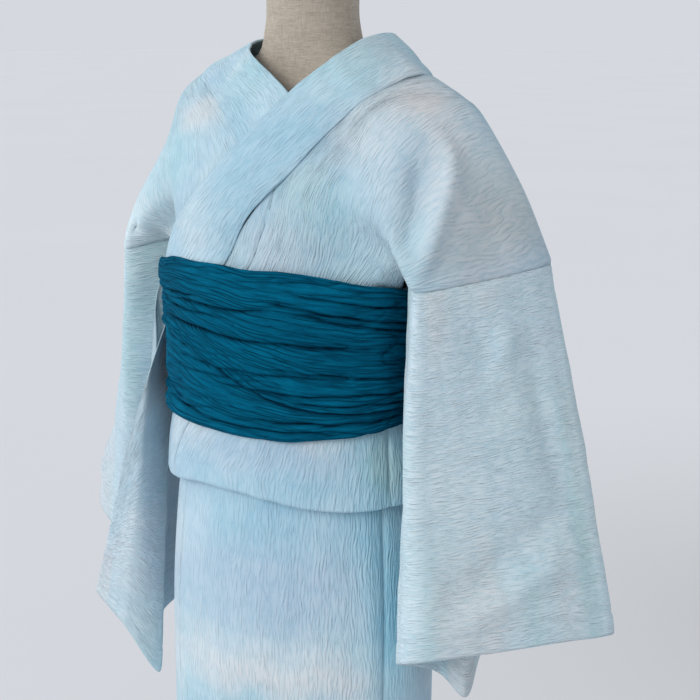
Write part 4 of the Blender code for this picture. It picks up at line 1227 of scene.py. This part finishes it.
def stand_metal():
    """Foot and pole: satin dark paint with a faint orange-peel."""
    f = Finish("stand painted metal", Metallic=0.0, Roughness=0.42)
    place = f.node("ShaderNodeTexCoord", {}, {}, 3)
    peel = f.noise(f.stretched(place, (420.0, 420.0, 420.0)), 2.0)
    cloud = f.noise(f.stretched(place, (9.0, 9.0, 9.0)), 3.0)
    colour = f.node("ShaderNodeValToRGB",
                    {"ramp": [(0.3, (0.018, 0.018, 0.019)), (0.7, (0.034, 0.034, 0.035))]},
                    {"Fac": cloud})
    return f.finish(colour, 0.30 + cloud * 0.28, peel, 0.0003, 0.4)


def cap_wood():
    """Neck cap: turned wood, rings of growth seen on its face and fine pores."""
    f = Finish("cap wood", Roughness=0.5, Coat_Weight=0.15)
    place = f.node("ShaderNodeTexCoord", {}, {}, 3)
    bent = f.wandering(place, (18.0, 18.0, 6.0), (0.010, 0.010, 0.0))
    grain = f.noise(f.stretched(bent, (20.0, 230.0, 90.0)), 3.0)
    pore = f.noise(f.stretched(bent, (120.0, 1700.0, 700.0)), 2.0)
    colour = f.node("ShaderNodeValToRGB",
                    {"ramp": [(0.30, (0.20, 0.098, 0.045)), (0.70, (0.42, 0.245, 0.125))]},
                    {"Fac": grain * 0.75 + pore * 0.25})
    return f.finish(colour, 0.42 + pore * 0.2, pore, 0.0003, 0.5)


def studio_floor():
    f = Finish("studio floor", Roughness=0.95)
    place = f.node("ShaderNodeTexCoord", {}, {}, 3)
    cloud = f.noise(f.stretched(place, (0.6, 0.6, 0.6)), 2.0)
    colour = f.node("ShaderNodeValToRGB",
                    {"ramp": [(0.3, (0.690, 0.700, 0.735)), (0.7, (0.705, 0.715, 0.748))]},
                    {"Fac": cloud})
    # painted shadow: a soft darker patch on the floor behind the stand, to the camera's right
    shade = f.node("ShaderNodeTexGradient", {"gradient_type": "QUADRATIC_SPHERE"},
                   {"Vector": f.stretched(f.added(place, (0.30, -2.30, 0.0)), (0.42, 0.42, 1.0))})
    return f.finish(f.mix(shade * 0.5, colour, (0.36, 0.355, 0.335, 1.0)))


# ---- the garment ------------------------------------------------------------
cotton, crepe, linen = crepe_cotton(), belt_crepe(), form_linen()
metal, wood = stand_metal(), cap_wood()

stations = collar_stations()
left_armhole = body_panel("robe_left_body", True, stations, cotton)
right_armhole = body_panel("robe_right_body", False, stations, cotton)
overlap_panel("robe_left_overlap", True, cotton)
overlap_panel("robe_right_overlap", False, cotton)
collar_band("robe_collar", stations, cotton)
sleeve("robe_left_sleeve", LEFT_WRIST, LEFT_BAG, True, left_armhole, cotton)
sleeve("robe_right_sleeve", RIGHT_WRIST, RIGHT_BAG, False, right_armhole, cotton)
belt_turn("belt_lower_turn", "belt_lower_turn", belt_low, lambda d: wrap_edge(d) + 0.030,
          0.0, 71, crepe)
belt_turn("belt_upper_turn", "belt_upper_turn", wrap_edge, belt_top, BELT_TURN + 0.0006, 81,
          crepe)
belt_knot(crepe)
dress_form(linen)
stand(wood, metal)


# ---- floor, light and camera ------------------------------------------------
def studio():
    """Pale floor to the horizon, one wide soft key from the wearer's right, pale sky."""
    scene = bpy.context.scene
    scene.view_settings.view_transform = "Standard"
    mesh = bpy.data.meshes.new("floor")
    size = 60.0
    corners = [(-size, -size, 0), (size, -size, 0), (size, size, 0), (-size, size, 0)]
    mesh.from_pydata(corners, [], [(0, 1, 2, 3)])
    mesh.materials.append(studio_floor())
    floor = bpy.data.objects.new("floor", mesh)
    scene.collection.objects.link(floor)

    world = bpy.data.worlds.new("studio sky")
    world.use_nodes = True
    tree = world.node_tree
    lit = tree.nodes["Background"]
    lit.inputs["Color"].default_value = (0.94, 0.97, 1.0, 1.0)
    lit.inputs["Strength"].default_value = 0.71
    seen = tree.nodes.new("ShaderNodeBackground")
    seen.inputs["Color"].default_value = (0.665, 0.685, 0.730, 1.0)
    ray = tree.nodes.new("ShaderNodeLightPath")
    choice = tree.nodes.new("ShaderNodeMixShader")
    tree.links.new(ray.outputs["Is Camera Ray"], choice.inputs[0])
    tree.links.new(lit.outputs[0], choice.inputs[1])
    tree.links.new(seen.outputs[0], choice.inputs[2])
    tree.links.new(choice.outputs[0], tree.nodes["World Output"].inputs["Surface"])
    scene.world = world

    for name, energy, angle, turned_to, colour in (
            ("key", 1.45, 34.0, (-0.14, -0.92, 0.40), (1.0, 0.985, 0.96)),
            ("side", 1.00, 60.0, (-0.94, -0.22, 0.24), (0.95, 0.98, 1.0))):
        lamp = bpy.data.lights.new(name, "SUN")
        lamp.energy, lamp.angle, lamp.color = energy, np.radians(angle), colour
        light = bpy.data.objects.new(name, lamp)
        scene.collection.objects.link(light)
        light.rotation_euler = Vector(turned_to).to_track_quat("Z", "Y").to_euler()

    lens = bpy.data.cameras.new("camera")
    lens.lens, lens.sensor_width = 79.46, 36.0
    camera = bpy.data.objects.new("camera", lens)
    scene.collection.objects.link(camera)
    middle = Vector((0.037, 0.031, 1.090))
    camera.location = Vector((0.980, -1.093, 1.402))
    camera.rotation_euler = (camera.location - middle).to_track_quat("Z", "Y").to_euler()
    scene.camera = camera


studio()
